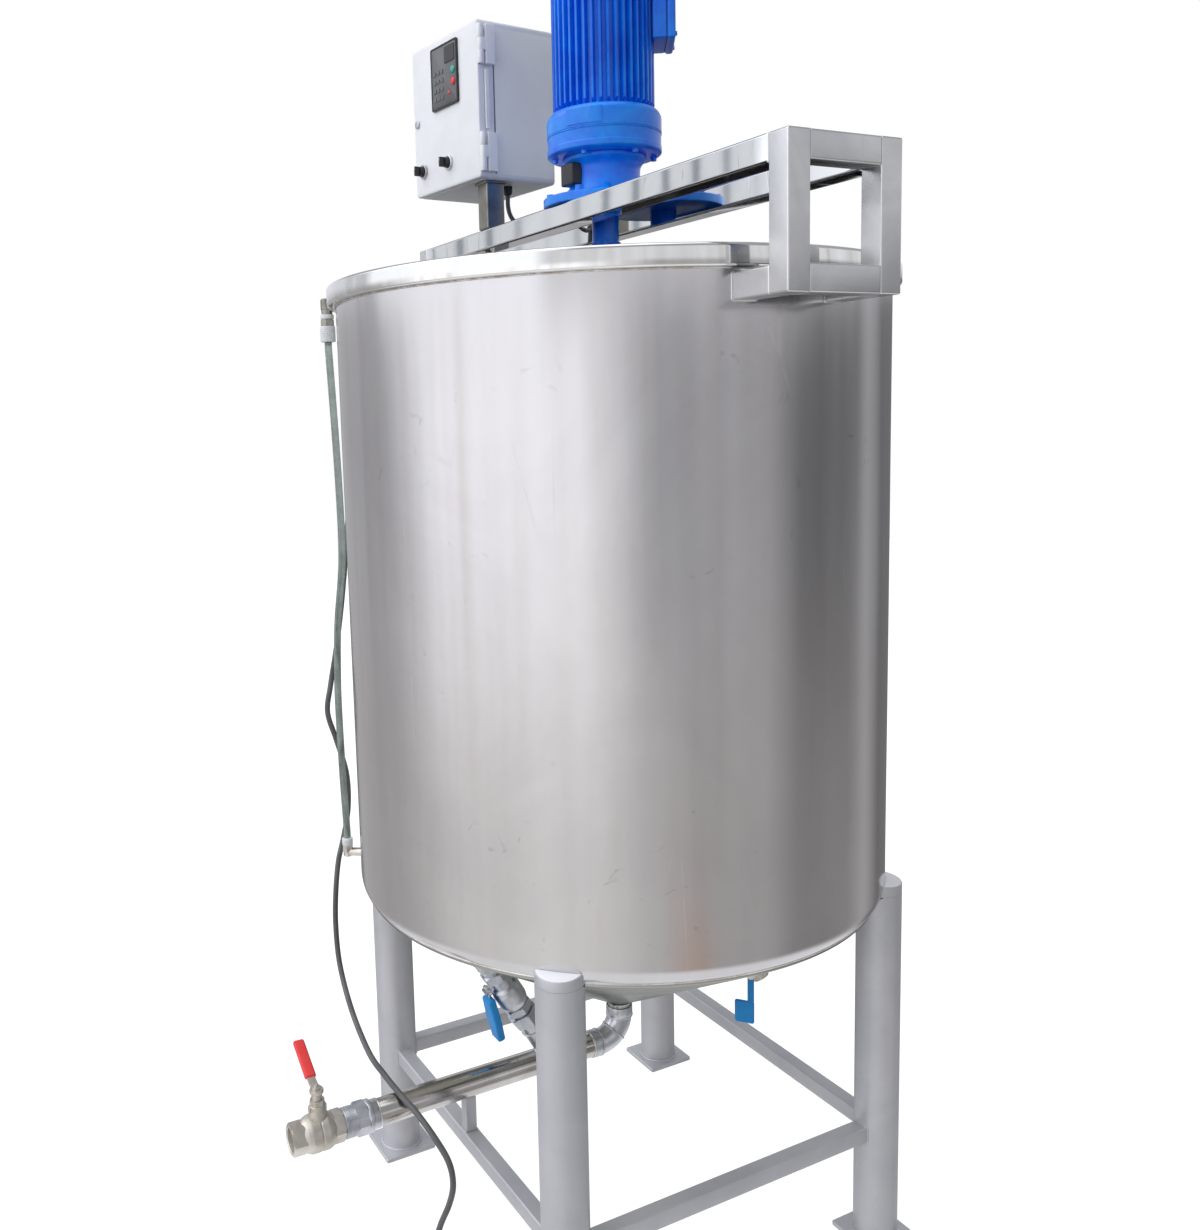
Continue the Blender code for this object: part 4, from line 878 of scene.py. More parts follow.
# %% The rings mixed by height, with a warm patch low on the right
seen = blend(sky, by_height(-0.02, -0.40), level_ring, low_ring)
seen = blend(sky, by_height(0.075, 0.12), seen, high_ring)
seen = blend(sky, by_height(0.24, 0.42), seen, top_ring)
seen = blend(sky, by_height(0.88, 0.99), seen, (1.70, 1.72, 1.76))
warm_side = ramp(sky, share, [(0.715, 0.0), (0.732, 1.0), (0.752, 1.0), (0.775, 0.0)])
warm = math_node(sky, "MULTIPLY", by_height(-0.39, -0.46), warm_side)
seen = blend(sky, warm, seen, (0.60, 0.44, 0.36))
seen = blend(sky, by_height(-0.49, -0.67), seen, (1.00, 1.01, 1.05))
path = add(sky, "LightPath")
shown = blend(sky, path.outputs["Is Camera Ray"], seen, (1.0, 1.0, 1.0))
background = add(sky, "Background", {"Color": shown}, Strength=1.0)
out = sky.nodes.new("ShaderNodeOutputWorld")
sky.links.new(background.outputs[0], out.inputs["Surface"])
bpy.context.scene.view_settings.view_transform = "Standard"
print("world:", len(sky.nodes), "nodes")

# %% [markdown]
# ## The floor
# The floor is plain and pale. It glows for the camera alone, so that it shows no shadow's edge,
# and it stays out of the steel's reflections, which the rings already give.

# %% Floor
FLOOR_REACH = 9.0
floor_points = np.array([[-1, -1, 0], [1, -1, 0], [1, 1, 0], [-1, 1, 0]]) * FLOOR_REACH
floor_mesh = bpy.data.meshes.new("floor")
floor_mesh.from_pydata(floor_points.tolist(), [], [[0, 1, 2, 3]])
floor = bpy.data.objects.new("floor", floor_mesh)
bpy.context.scene.collection.objects.link(floor)
floor.visible_glossy = False
floor_finish, floor_tree, floor_shader = finish_of(
    "pale_floor", Roughness=0.9, Base_Color=(0.20, 0.20, 0.20, 1), Emission_Color=(1, 1, 1, 1),
    Emission_Strength=0.7
)
floor_path = add(floor_tree, "LightPath")
given = math_node(floor_tree, "MULTIPLY_ADD", floor_path.outputs["Is Camera Ray"], 0.94, 0.02)
floor_tree.links.new(given, floor_shader.inputs["Emission Strength"])
floor_mesh.materials.append(floor_finish)
print("floor laid")

# %% [markdown]
# ## The vessel
# A rolled shell is one smooth cylinder, so it replaces the CAD's four quarter plates. Real
# sheet is never quite round: the radius wanders by some tenths of a millimetre, and that
# is what makes long reflections waver. Its lower edge is knuckled in to meet the cone: the
# profile there is a quarter of an upright ellipse, x = 0.4895 + 0.0105 sin a and
# z = 0.7130 - 0.0260 cos a, so it catches the light from below as a soft pale band.

# %% Shell of the vessel
WALL_RADIUS, WALL_HIGH = 0.500, 1.8005
CONE_LOW, OUTLET_RADIUS = 0.4015, 0.024
CONE_SLOPE = (0.6865 - CONE_LOW) / (WALL_RADIUS - OUTLET_RADIUS)


def cone_height(radius):
    """Height of the cone's outer face at a radius."""
    return 0.6865 - (WALL_RADIUS - radius) * CONE_SLOPE


def wander(t, z):
    """Out-of-round of the rolled sheet in metres: three slow waves round the shell and up it."""
    slow = 0.00022 * np.sin(3 * t + 2.1 * z) + 0.00012 * np.sin(7 * t - 5.3 * z + 1.0)
    return slow + 0.00010 * np.sin(11 * t + 9.0 * z)


bend_turn = np.linspace(0, np.pi / 2, 22)
knuckle = np.vstack(
    [
        [(0.4882, 0.6868)],
        np.column_stack([0.4895 + 0.0105 * np.sin(bend_turn), 0.7130 - 0.0260 * np.cos(bend_turn)])
    ]
)
outside = np.vstack([knuckle, np.column_stack([np.full(40, 0.5), np.linspace(0.74, WALL_HIGH, 40)])])
inside = np.column_stack([np.full(12, 0.497), np.linspace(WALL_HIGH, 0.700, 12)])
shell_profile = np.vstack([outside, inside, [(0.4870, 0.6895)]])
shell_points, shell_faces = lathe(shell_profile, 288, ring=True)
turn_of = np.arctan2(shell_points[:, 1], shell_points[:, 0])
grows = np.clip((shell_points[:, 2] - 0.70) / 0.05, 0, 1)
swell = 1 + wander(turn_of, shell_points[:, 2]) * grows / WALL_RADIUS
shell_points = shell_points * np.stack([swell, swell, np.ones_like(swell)], 1)
piece(
    "tank_shell", (shell_points, shell_faces), wall_steel,
    instead=["tank_wall_front", "tank_wall_right", "tank_wall_back", "tank_wall_left"],
)  # fmt: skip
print(
    "shell:", len(shell_points), "points, out of round by",
    round(1000 * float(np.ptp(wander(turn_of, shell_points[:, 2]))), 2), "mm"
)

# %% [markdown]
# ## Rim and cone
# The rim is a flat bar rolled to a hoop and polished. The cone is one rolled sheet that ends in
# the outlet. Both are closed profiles revolved about the axis, because the pieces are hollow:
# the profile goes down the outer face and up the inner one.

# %% Rim band, cone and the weld between wall and cone
rim_outline = [
    (0.4966, 1.8008), (0.4966, 1.8026), (0.5120, 1.8030), (0.5155, 1.7990), (0.5155, 1.7720),
    (0.5135, 1.7692), (0.5012, 1.7692), (0.5012, 1.8008)
]
rim_band = turned(rim_outline, 0.0022, 4, 288, ring=True)
rim_seam = bead(circle(0.5012, 1.7684, 720), 0.0012, 0.006)
piece("rim_band", rim_band, polished_steel, instead=["tank_rim"])
piece("rim_seam", rim_seam, weld_steel)
cone_outline = [
    (0.4868, 0.6862), (0.4886, 0.6862), (0.4886, cone_height(0.4886) - 0.0006),
    (OUTLET_RADIUS + 0.004, cone_height(0.028) - 0.0006), (OUTLET_RADIUS, CONE_LOW - 0.003),
    (OUTLET_RADIUS, CONE_LOW - 0.0098), (0.021, CONE_LOW - 0.0098), (0.021, cone_height(0.021) + 0.0040),
    (0.4840, cone_height(0.4840) + 0.0038)
]
cone_shape = turned(cone_outline, [0, 0.0004, 0.0010, 0.004, 0.002, 0, 0, 0, 0], 3, 256, ring=True)
piece("cone_bottom", cone_shape, cone_steel_painted_shade, instead=["tank_cone"])
knuckle_weld = bead(circle(0.4896, 0.6862, 900), 0.0018, 0.0055)
piece("cone_weld", knuckle_weld, weld_steel)
print("rim, cone and welds done")

# %% [markdown]
# ## The stand
# Each leg is a pipe that passes up beside the wall, is cut to the cone and the wall, and is
# closed by a nearly flat cap. So one leg is two lofts: a round pipe up to the cone, and a lens
# between the pipe's outer face and the wall, whose top follows the cap. A thin skin lies on the
# cap in a near-white without metal: painted light on the cap's top, brighter than the paint.

# %% A leg with its cap, foot plate and welds
LEG_X, LEG_Y, LEG_RADIUS = 0.340, 0.352, 0.040
CAP_HIGH, CAP_SLOPE = 0.704, 0.08
LEGS = {"front_left": (-1, -1), "front_right": (1, -1), "back_left": (-1, 1), "back_right": (1, 1)}


def leg_shape(side_x, side_y):
    """The leg and its cap: the circle x = x0 + R cos t, y = y0 + R sin t is carried up, and past the
    cone its points are pushed out to the wall's radius, max(r, 0.499). The cap falls by the slope
    times (r - 0.5)."""
    x0, y0 = side_x * LEG_X, side_y * LEG_Y
    t = np.linspace(0, 2 * np.pi, 96, endpoint=False)
    x, y = x0 + LEG_RADIUS * np.cos(t), y0 + LEG_RADIUS * np.sin(t)
    r = np.hypot(x, y)
    under = np.minimum(0.6845, cone_height(np.minimum(r, 0.4995)) - 0.002)
    loops = [np.stack([x, y, np.full(96, height)], -1) for height in (0.0078, 0.02, 0.3, 0.6)]
    pipe = loft([*loops, np.stack([x, y, under], -1)])
    push, low_push = np.maximum(0.4990 / r, 1.0), np.maximum(0.4898 / r, 1.0)
    lens_x, lens_y = x * push, y * push
    middle = np.array([lens_x.mean(), lens_y.mean()])
    rows = []
    for inset, drop in ((0, None), (0, 0.0012), (0.0004, 0.0004), (0.0012, 0.0)):
        share = inset / LEG_RADIUS * 2
        px, py = lens_x + (middle[0] - lens_x) * share, lens_y + (middle[1] - lens_y) * share
        top = CAP_HIGH - CAP_SLOPE * (np.hypot(px, py) - 0.5)
        if drop is None:
            rows.append(np.stack([x * low_push, y * low_push, np.full(96, 0.6845)], -1))
        else:
            rows.append(np.stack([px, py, top - drop], -1))
    lens = loft(rows)
    foot = plate(0.056, 0.056, 0.004, [(0.0002, 0.0006), (0.0010, 0.0), (0.0070, 0.0), (0.0080, 0.0010)])
    ring = bead(circle(LEG_RADIUS + 0.0012, 0.0088, 140), 0.0026, 0.007)
    # The skin on the cap, lifted up to a millimetre: it carries the painted light of the cap's top.
    lit_skin_rows = []
    for inset, lift in (
        (0.0014, 0.0), (0.0018, 0.0003), (0.0030, 0.0006), (0.0100, 0.0009), (0.0180, 0.0010)
    ):
        share = inset / LEG_RADIUS * 2
        px, py = lens_x + (middle[0] - lens_x) * share, lens_y + (middle[1] - lens_y) * share
        lit_skin_rows.append(np.stack([px, py, CAP_HIGH - CAP_SLOPE * (np.hypot(px, py) - 0.5) + lift], -1))
    whole = joined(pipe, lens, moved(foot, (x0, y0, 0)), moved(ring, (x0, y0, 0)))
    return whole, loft(lit_skin_rows)


for name, sides in LEGS.items():
    whole, cap = leg_shape(*sides)
    piece("leg_pipe_" + name, whole, silver_paint, instead=["leg_" + name])
    piece("leg_cap_painted_light_" + name, cap, cap_painted_light)
print("legs:", ", ".join(LEGS))

# %% [markdown]
# ## The braces
# Four square tubes tie the legs together. Their ends are hidden in the pipes, so a soft box
# that reaches a little into each leg is enough, and a weld bead follows the joint.

# %% Braces and the beads where they meet the legs
BRACE, BRACE_HIGH = 0.030, 0.234


def brace_shape(along_x, side):
    """A square tube between two legs with a bead round each end: the bead's loop is the tube's
    outline, set back onto the leg by sqrt(R^2 - s^2)."""
    across = side * (LEG_Y if along_x else LEG_X)
    reach = (LEG_X if along_x else LEG_Y) - LEG_RADIUS + 0.004
    half = BRACE / 2
    middle = BRACE_HIGH - half
    bar = soft_box((-reach, across - half, middle - half), (reach, across + half, middle + half), 0.0032, 4)
    loop = round_rectangle(half + 0.0006, half + 0.0006, 0.004, 6)
    shapes = [bar]
    for end in (-1, 1):
        surface = (LEG_X if along_x else LEG_Y) - np.sqrt(LEG_RADIUS**2 - loop[:, 0] ** 2) - 0.0004
        path = np.column_stack([end * surface, across + loop[:, 0], middle + loop[:, 1]])
        dense = np.concatenate(
            [path + (np.roll(path, -1, axis=0) - path) * k / 6 for k in range(6)], 1
        ).reshape(-1, 3)
        shapes.append(bead(dense, 0.0018, 0.006, hint=(1, 0, 0)))
    points, faces = joined(*shapes)
    if not along_x:
        points = np.column_stack([points[:, 1], points[:, 0], points[:, 2]])
        faces = faces[:, ::-1]
    return points, faces


for name, along_x, side in (("front", True, -1), ("back", True, 1), ("left", False, -1), ("right", False, 1)):
    piece(
        "brace_tube_" + name, brace_shape(along_x, side), silver_paint,
        instead=["brace_" + name]
    )
print("braces done")

# %% [markdown]
# ## The bridge
# Two mirror-polished tubes run over the mouth. At each end they meet a frame that was
# welded from the same tube and ground flush, so the frame is a set of soft boxes with
# thin ground seams, and its arms are coped to the round wall.

# %% Beams and end frames
TUBE, HALF_WIDTH, HALF_LENGTH = 0.040, 0.105, 0.607
BRIDGE_HIGH, BRIDGE_LOW = 1.939, 1.722
BEAM_END = HALF_LENGTH - TUBE


def beam_shape(side):
    """One long tube, a soft box with 40 cells along it."""
    near, far = sorted((side * (HALF_WIDTH - TUBE), side * HALF_WIDTH))
    low, high = (near, -BEAM_END + 0.0002, BRIDGE_HIGH - TUBE), (far, BEAM_END - 0.0002, BRIDGE_HIGH)
    return soft_box(low, high, 0.0035, 4, 40)


def arm_shape(side_x, side_y):
    """An arm of tube from the end frame to the wall: its inner end is slid onto the wall's circle."""
    near, far = sorted((side_x * (HALF_WIDTH - TUBE), side_x * HALF_WIDTH))
    low_y, high_y = 0.490, BEAM_END + 0.002
    points, faces = soft_box((near, low_y, BRIDGE_LOW), (far, high_y, BRIDGE_LOW + TUBE), 0.003, 4, 10)
    share = np.clip((high_y - points[:, 1]) / (high_y - low_y), 0, 1)
    points[:, 1] += share * (np.sqrt(0.5004**2 - points[:, 0] ** 2) - low_y)
    if side_y < 0:
        points[:, 1] *= -1
        faces = faces[:, ::-1]
    return points, faces


def frame_shape(side):
    """The end frame: two posts, two rails and two arms, and the seams between them apart."""
    width, inner = HALF_WIDTH, HALF_WIDTH - TUBE
    y_low, y_high = sorted((side * BEAM_END, side * HALF_LENGTH))
    bars = [
        soft_box((-width, y_low, BRIDGE_LOW), (-inner, y_high, BRIDGE_HIGH), 0.003, 4),
        soft_box((inner, y_low, BRIDGE_LOW), (width, y_high, BRIDGE_HIGH), 0.003, 4),
        soft_box(
            (-inner - 0.001, y_low + 0.0003, BRIDGE_HIGH - TUBE),
            (inner + 0.001, y_high - 0.0003, BRIDGE_HIGH - 0.0003), 0.003, 4
        ),
        soft_box(
            (-inner - 0.001, y_low + 0.0003, BRIDGE_LOW + 0.0003),
            (inner + 0.001, y_high - 0.0003, BRIDGE_LOW + TUBE), 0.003, 4
        )
    ]
    arms = [arm_shape(-1, side), arm_shape(1, side)]
    seams = []
    for x in (-inner, inner):
        for z in (BRIDGE_HIGH - TUBE / 2, BRIDGE_LOW + TUBE / 2):
            loop = round_rectangle(TUBE / 2 - 0.0002, TUBE / 2 - 0.0002, 0.003, 4)
            path = np.column_stack(
                [np.full(len(loop), x), side * (HALF_LENGTH - TUBE / 2) + loop[:, 0], z + loop[:, 1]]
            )
            seams.append(bead(path, 0.0005, 0.004, hint=(1, 0, 0)))
    for x in (-width + TUBE / 2, width - TUBE / 2):
        loop = round_rectangle(TUBE / 2 + 0.0002, TUBE / 2 + 0.0002, 0.003, 8)
        wall_y = side * (np.sqrt(0.5004**2 - (x + loop[:, 0]) ** 2) + 0.0006)
        path = np.column_stack([x + loop[:, 0], wall_y, BRIDGE_LOW + TUBE / 2 + loop[:, 1]])
        dense = np.concatenate(
            [path + (np.roll(path, -1, axis=0) - path) * k / 5 for k in range(5)], 1
        ).reshape(-1, 3)
        seams.append(bead(dense, 0.0016, 0.006, hint=(0, 1, 0)))
    return joined(*bars, *arms), joined(*seams)


# %% Beams, frames and the post of the control box
for name, side in (("left", -1), ("right", 1)):
    piece(
        "beam_tube_" + name, beam_shape(side), mirror_steel,
        instead=["bridge_beam_" + name]
    )
for name, side in (("front", -1), ("back", 1)):
    bars, seams = frame_shape(side)
    piece("end_frame_" + name, bars, ground_steel, instead=["bridge_frame_" + name])
    piece("end_frame_welds_" + name, seams, ground_steel)
post = soft_box((-0.105, 0.268, BRIDGE_HIGH + 0.0003), (-0.065, 0.308, 2.0317), 0.003, 4)
post_plate = soft_box((-0.110, 0.264, 2.0270), (-0.061, 0.312, 2.0318), 0.0015, 2)
piece("box_post_tube", joined(post, post_plate), dull_steel, instead=["box_post"])
print("bridge done")

# %% [markdown]
# ## The drive
# A cast gearmotor is turned work with webs and bolts added. The flange stands on the
# bridge, the neck widens into the gearbox, and the motor's fins are one wavy outline drawn
# up between two end shields.

# %% Small shapes for castings
def slab(outline, half, edge=0.0008):
    """A convex outline of (x, z) points as a plate square to Y, from -half to half, with soft edges."""
    outline = rounded(outline, edge * 2, 3, ring=True)
    centre = outline.mean(0)
    loops = []
    for y, inset in ((-half, edge), (-half + edge, 0.0), (half - edge, 0.0), (half, edge)):
        reach = np.linalg.norm(outline - centre, axis=1, keepdims=True)
        flat = centre + (outline - centre) * (1 - inset / reach)
        loops.append(np.column_stack([flat[:, 0], np.full(len(flat), y), flat[:, 1]]))
    return loft(loops)


def spaced(shape, count, first=0.0):
    """A shape repeated round the Z axis."""
    return joined(*[around(shape, first + 2 * np.pi * k / count) for k in range(count)])


def mapped(shape, points):
    """The shape with new points, turned right side out again."""
    return outward(points, shape[1])


# %% Mount, neck and gearbox
mount_profile = [
    (0, 1.9393), (0.113, 1.9393), (0.113, 1.9553), (0.080, 1.9553), (0.0655, 1.9630), (0.0640, 2.0080),
    (0.0760, 2.0190), (0.0760, 2.0257), (0, 2.0257),
]  # fmt: skip
mount_turned = turned(mount_profile, [0, 0.002, 0.002, 0.006, 0.012, 0.014, 0.004, 0.001, 0], 4, 96)
web = slab([(0.055, 1.9540), (0.090, 1.9540), (0.090, 1.9565), (0.068, 1.9720), (0.055, 1.9720)], 0.004)
flange_bolts = spaced(bolt(0.015, (0.099, 0, 1.9553)), 6, np.pi / 6)
piece(
    "drive_mount_casting", joined(mount_turned, spaced(web, 6), flange_bolts), gear_paint_lit,
    instead=["drive_mount"],
)  # fmt: skip
gearbox_profile = [
    (0, 2.0260), (0.098, 2.0260), (0.104, 2.0300), (0.104, 2.0400), (0.1030, 2.0412), (0.1030, 2.0606),
    (0.1040, 2.0614), (0.1040, 2.0622), (0.1032, 2.0628), (0.1032, 2.0636), (0.1040, 2.0642),
    (0.1040, 2.0935), (0.0960, 2.1035), (0.0870, 2.1040), (0, 2.1040)
]
gearbox_turned = turned(
    gearbox_profile,
    [0, 0.002, 0.002, 0.0005, 0.0005, 0.0004, 0.0004, 0.0002, 0.0002, 0.0002, 0.0002, 0.006, 0.004, 0.001, 0],
    4, 128
)
under_bolts = spaced(bolt(0.010, (0.0900, 0, 2.0262), (0, 0, -1)), 6, np.radians(34))
plate_field = soft_box((-0.034, -0.014, 0.0), (0.034, 0.014, 0.0016), 0.0007, 3, 14)
bend = plate_field[0][:, 0] / 0.104
plate_reach = 0.1036 + plate_field[0][:, 2]
plate_points = np.stack(
    [plate_reach * np.cos(bend), plate_reach * np.sin(bend), 2.0815 + plate_field[0][:, 1]], 1
)
blank_plate = around(mapped(plate_field, plate_points), np.radians(216.5))
# A black block on the neck's left side: painted shade for the dark gap beside the neck.
neck_shade_block = around(soft_box((0.056, -0.020, 1.974), (0.082, 0.020, 2.012), 0.003), np.radians(180))
piece(
    "gearbox_casting", joined(gearbox_turned, under_bolts, blank_plate), gear_paint_lit,
    instead=["gearbox"],
)  # fmt: skip
piece("neck_shade_block", neck_shade_block, black_plastic)
print("mount and gearbox done")

# %% [markdown]
# ## The motor
# The housing is drawn aluminium with cooling fins. Modelled one by one they would take forty
# small plates, so the whole housing is one loft whose radius rises and falls with the angle:
# r = 0.0810 + 0.0108 d clip((cos 40 t + 0.15) / 0.60, 0, 1), with the depth d fading at both ends.

# %% Motor with its fins
FINS = 40
fin_turn = np.linspace(0, 2 * np.pi, FINS * 14, endpoint=False)
fin_height = np.clip((np.cos(FINS * fin_turn) + 0.15) / 0.60, 0, 1)
fin_loops = []
for height, depth in (
    (2.1062, 0.0), (2.1085, 0.55), (2.1120, 1.0), (2.3640, 1.0), (2.3700, 0.35), (2.3740, 0.0)
):
    radius = 0.0810 + 0.0108 * depth * fin_height
    fin_loops.append(
        np.stack([radius * np.cos(fin_turn), radius * np.sin(fin_turn), np.full(len(fin_turn), height)], -1)
    )
shields = [
    turned([(0, 2.1042), (0.0860, 2.1042), (0.0860, 2.1058), (0.0810, 2.1064), (0, 2.1064)], 0.0006, 2, 96),
    turned([(0, 2.3720), (0.0830, 2.3720), (0.0915, 2.3780), (0.0915, 2.3860), (0, 2.3860)], 0.0016, 3, 96),
]
piece("motor_fins", joined(loft(fin_loops), *shields), blue_paint, instead=["motor"])
print("motor with", FINS, "fins done")

# %% Terminal box and the cable's entry
TERMINAL_TURN = np.radians(-33)
base_box = soft_box((0.0880, -0.0480, 2.2170), (0.1130, 0.0480, 2.3280), 0.003)
lid_box = soft_box((0.1134, -0.050, 2.2150), (0.1283, 0.050, 2.3300), 0.005, 5)
screws = [bolt(0.0070, (0.1262, y, z), (1, 0, 0)) for y in (-0.041, 0.041) for z in (2.224, 2.321)]
gasket = soft_box((0.1125, -0.0472, 2.2178), (0.1140, 0.0472, 2.3272), 0.0004, 2)
entry_nut = aimed(
    joined(
        hexagon(0.0195, 0.0, 0.0070),
        turned(
            [(0, 0.0060), (0.0098, 0.0060), (0.0098, 0.0110), (0.0060, 0.0180), (0, 0.0180)], 0.0010, 3, 40
        )
    ),
    ENTRY_AIM, ENTRY_FACE
)
piece(
    "terminal_box_lid", around(joined(base_box, lid_box, *screws), TERMINAL_TURN), blue_paint,
    instead=["terminal_box"]
)
piece("terminal_box_seal", around(gasket, TERMINAL_TURN), black_plastic)
piece("motor_cable_entry", entry_nut, black_plastic)
print("terminal box done,", len(screws), "screws")

# %% Fan cover with its ring-shaped grooves
cover = [(0, 2.3863), (0.0905, 2.3863), (0.0905, 2.4480), (0.0840, 2.4610), (0.0700, 2.4680)]
groove = ((0.003, 0), (0.002, 0.004), (-0.002, 0.004), (-0.003, 0))
grooves = [(r + dr, 2.4680 - dz) for r in (0.062, 0.050, 0.038, 0.026) for dr, dz in groove]
cover_turned = turned([*cover, *grooves, (0.015, 2.4680), (0, 2.4680)], 0.0012, 3, 128)
band_profile = [(0.0895, 2.3880), (0.0915, 2.3880), (0.0915, 2.3960), (0.0895, 2.3960)]
cover_band = turned(band_profile, 0.0006, 2, 128, ring=True)
cover_bolts = spaced(bolt(0.008, (0.0905, 0, 2.4020), (1, 0, 0)), 4, np.pi / 4)
piece(
    "fan_cover_cap", joined(cover_turned, cover_band, cover_bolts), blue_paint,
    instead=["fan_cover"]
)
print("fan cover done")

# %% [markdown]
# ## The agitator
# The shaft hangs from the coupling under the flange and carries four pitched blades near the
# cone. All of it turns as one body about the vessel's axis, and most of it is out of sight.

# %% Coupling, shaft and impeller, which turn together
shaft_bar = rod(0.0175, 0.7200, 1.8060, 0.002, 3, 48)
coupling_profile = [
    (0, 1.8000), (0.0245, 1.8000), (0.0245, 1.8420), (0.0300, 1.8440), (0.0300, 1.8560), (0.0290, 1.8566),
    (0.0290, 1.8574), (0.0300, 1.8580), (0.0300, 1.8700), (0.0245, 1.8720), (0.0245, 1.9388), (0, 1.9388)
]
coupling_turned = turned(coupling_profile, 0.0012, 3, 64)
coupling_bolts = spaced(
    joined(bolt(0.007, (0.0258, 0, 1.8700)), bolt(0.007, (0.0258, 0, 1.8440), (0, 0, -1))), 6
)
piece("shaft_bar", shaft_bar, polished_steel, "agitator", ["agitator_shaft"])
piece("shaft_coupling", joined(coupling_turned, coupling_bolts), blue_paint, "agitator")
hub = turned(
    [(0.0176, 0.7700), (0.0315, 0.7700), (0.0315, 0.8300), (0.0176, 0.8300)], 0.0018, 3, 48, ring=True
)
blade = soft_box((0.0240, -0.0300, -0.0020), (0.1900, 0.0300, 0.0020), 0.0012, 3, 6)
tilt = np.radians(45)
lean = np.array([[1, 0, 0], [0, np.cos(tilt), np.sin(tilt)], [0, -np.sin(tilt), np.cos(tilt)]])
blade = (blade[0] @ lean + [0, 0, 0.800], blade[1])
hub_screws = spaced(bolt(0.008, (0.0312, 0, 0.8000), (1, 0, 0)), 2, np.pi / 4)
piece(
    "impeller_blades", joined(hub, spaced(blade, 4), hub_screws), ground_steel, "agitator",
    ["agitator_impeller"]
)
print("agitator done")

# %% [markdown]
# ## Drain and valves
# Stock pipe fittings: a welded bend, a polished pipe, a union nut and a cast ball valve
# with hexagon ends. The lever is a bent strap in a dipped vinyl sleeve.

# %% Straps and hexagon mouths
def strap(path, side, half_width, half_thick, corner=0.0012):
    """A flat bar along a path: rounded rectangles in the plane of the side vector and its normal.
    The half sizes may change along the path."""
    path, side = np.asarray(path, float), np.asarray(side, float)
    ahead = np.gradient(path, axis=0)
    ahead /= np.linalg.norm(ahead, axis=1, keepdims=True)
    normal = np.cross(ahead, side)
    wide = np.broadcast_to(half_width, len(path))
    thick = np.broadcast_to(half_thick, len(path))
    loops = []
    for here in range(len(path)):
        flat = round_rectangle(wide[here], thick[here], min(corner, thick[here] * 0.95))
        loops.append(path[here] + flat[:, :1] * side + flat[:, 1:] * normal[here])
    return loft(loops)


def sleeve(path, side, half_width, half_thick):
    """A dipped sleeve over a strap: its ends are drawn in round like sqrt(1 - u^2)."""
    u = np.linspace(-1, 1, len(path))
    end = np.clip((1 - np.abs(u)) / 0.10, 0, 1)
    draw = np.maximum(np.sqrt(np.maximum(1 - (1 - end) ** 2, 0)), 0.25)
    return strap(path, side, half_width * (0.55 + 0.45 * draw), half_thick * draw, 0.004)


def resampled(points, count):
    """Points at even distances along a smooth-cornered line."""
    points = rounded(points, 0.012, 6)
    step = np.linalg.norm(np.diff(points, axis=0), axis=1)
    along = np.concatenate([[0], np.cumsum(step)])
    wanted = np.linspace(0, along[-1], count)
    return np.stack([np.interp(wanted, along, points[:, k]) for k in range(points.shape[1])], 1)


def hex_mouth(across, low, high, bore, depth, steps=48):
    """Hexagon end of a valve with a round bore sunk into its high end."""
    a = across / 2
    t = np.linspace(0, 2 * np.pi, steps, endpoint=False)
    r = a / np.cos(np.mod(t, np.pi / 3) - np.pi / 6)
    flat = np.minimum(r, 1.03 * a)
    fall = 0.58 * (r - flat)
    rows = [
        (flat, low + 0 * t), (r, low + fall), (r, high - fall), (flat, high + 0 * t),
        (bore + 0.0012 + 0 * t, high + 0 * t), (bore + 0 * t, high - 0.0012 + 0 * t),
        (bore + 0 * t, high - depth + 0 * t)
    ]
    return loft([np.stack([radius * np.cos(t), radius * np.sin(t), height], -1) for radius, height in rows])


# %% Bend and pipe
DRAIN_Z, PIPE_RADIUS, BEND = 0.324, 0.024, 0.050
BEND_TOP = CONE_LOW - 0.0103
VALVE_X, VALVE_NEAR = -0.634, -0.5903
LEFT = (-1, 0, 0)
quarter = np.linspace(0, np.pi / 2, 17)
arc_path = np.stack([-BEND * (1 - np.cos(quarter)), 0 * quarter, DRAIN_Z + BEND * (1 - np.sin(quarter))], -1)
bend_path = np.vstack(
    [[(0, 0, BEND_TOP), (0, 0, BEND_TOP - 0.006)], arc_path, [(-0.060, 0, DRAIN_Z), (-0.0700, 0, DRAIN_Z)]]
)
bend_tube = tube(bend_path, 0.0246, 40, hint=(0, 1, 0))
collars = [
    rod(0.0262, BEND_TOP - 0.0200, BEND_TOP, 0.001, 2, 48),
    aimed(rod(0.0262, 0, 0.016, 0.001, 2, 48), LEFT, (-0.0540, 0, DRAIN_Z)),
    bead(circle(0.0252, BEND_TOP - 0.0208, 120), 0.0017, 0.005),
    aimed(bead(circle(0.0252, 0.0, 120), 0.0017, 0.005), LEFT, (-0.0520, 0, DRAIN_Z)),
]
half_turn = arc_path[8]
collars.append(aimed(bead(circle(0.0250, 0.0, 120), 0.0016, 0.005), (-1, 0, -1), half_turn))
piece(
    "drain_bend", joined(bend_tube, *collars), matt_steel, instead=["outlet_bend"]
)
pipe_profile = rounded([(0, 0), (PIPE_RADIUS, 0), (PIPE_RADIUS, 0.4537), (0, 0.4537)], 0.0008, 2)
pipe_turned = aimed(lathe(pipe_profile, 64), LEFT, (-0.0703, 0, DRAIN_Z))
piece("drain_pipe_run", pipe_turned, pipe_steel, instead=["drain_pipe"])
pipe_welds = [
    aimed(
        bead(circle(PIPE_RADIUS + 0.0004, 0.0, 120), 0.0015, 0.005), LEFT, (x, 0, DRAIN_Z)
    ) for x in (-0.0712, -0.5232)
]
piece("drain_pipe_welds", joined(*pipe_welds), weld_steel)
print("bend and pipe done")

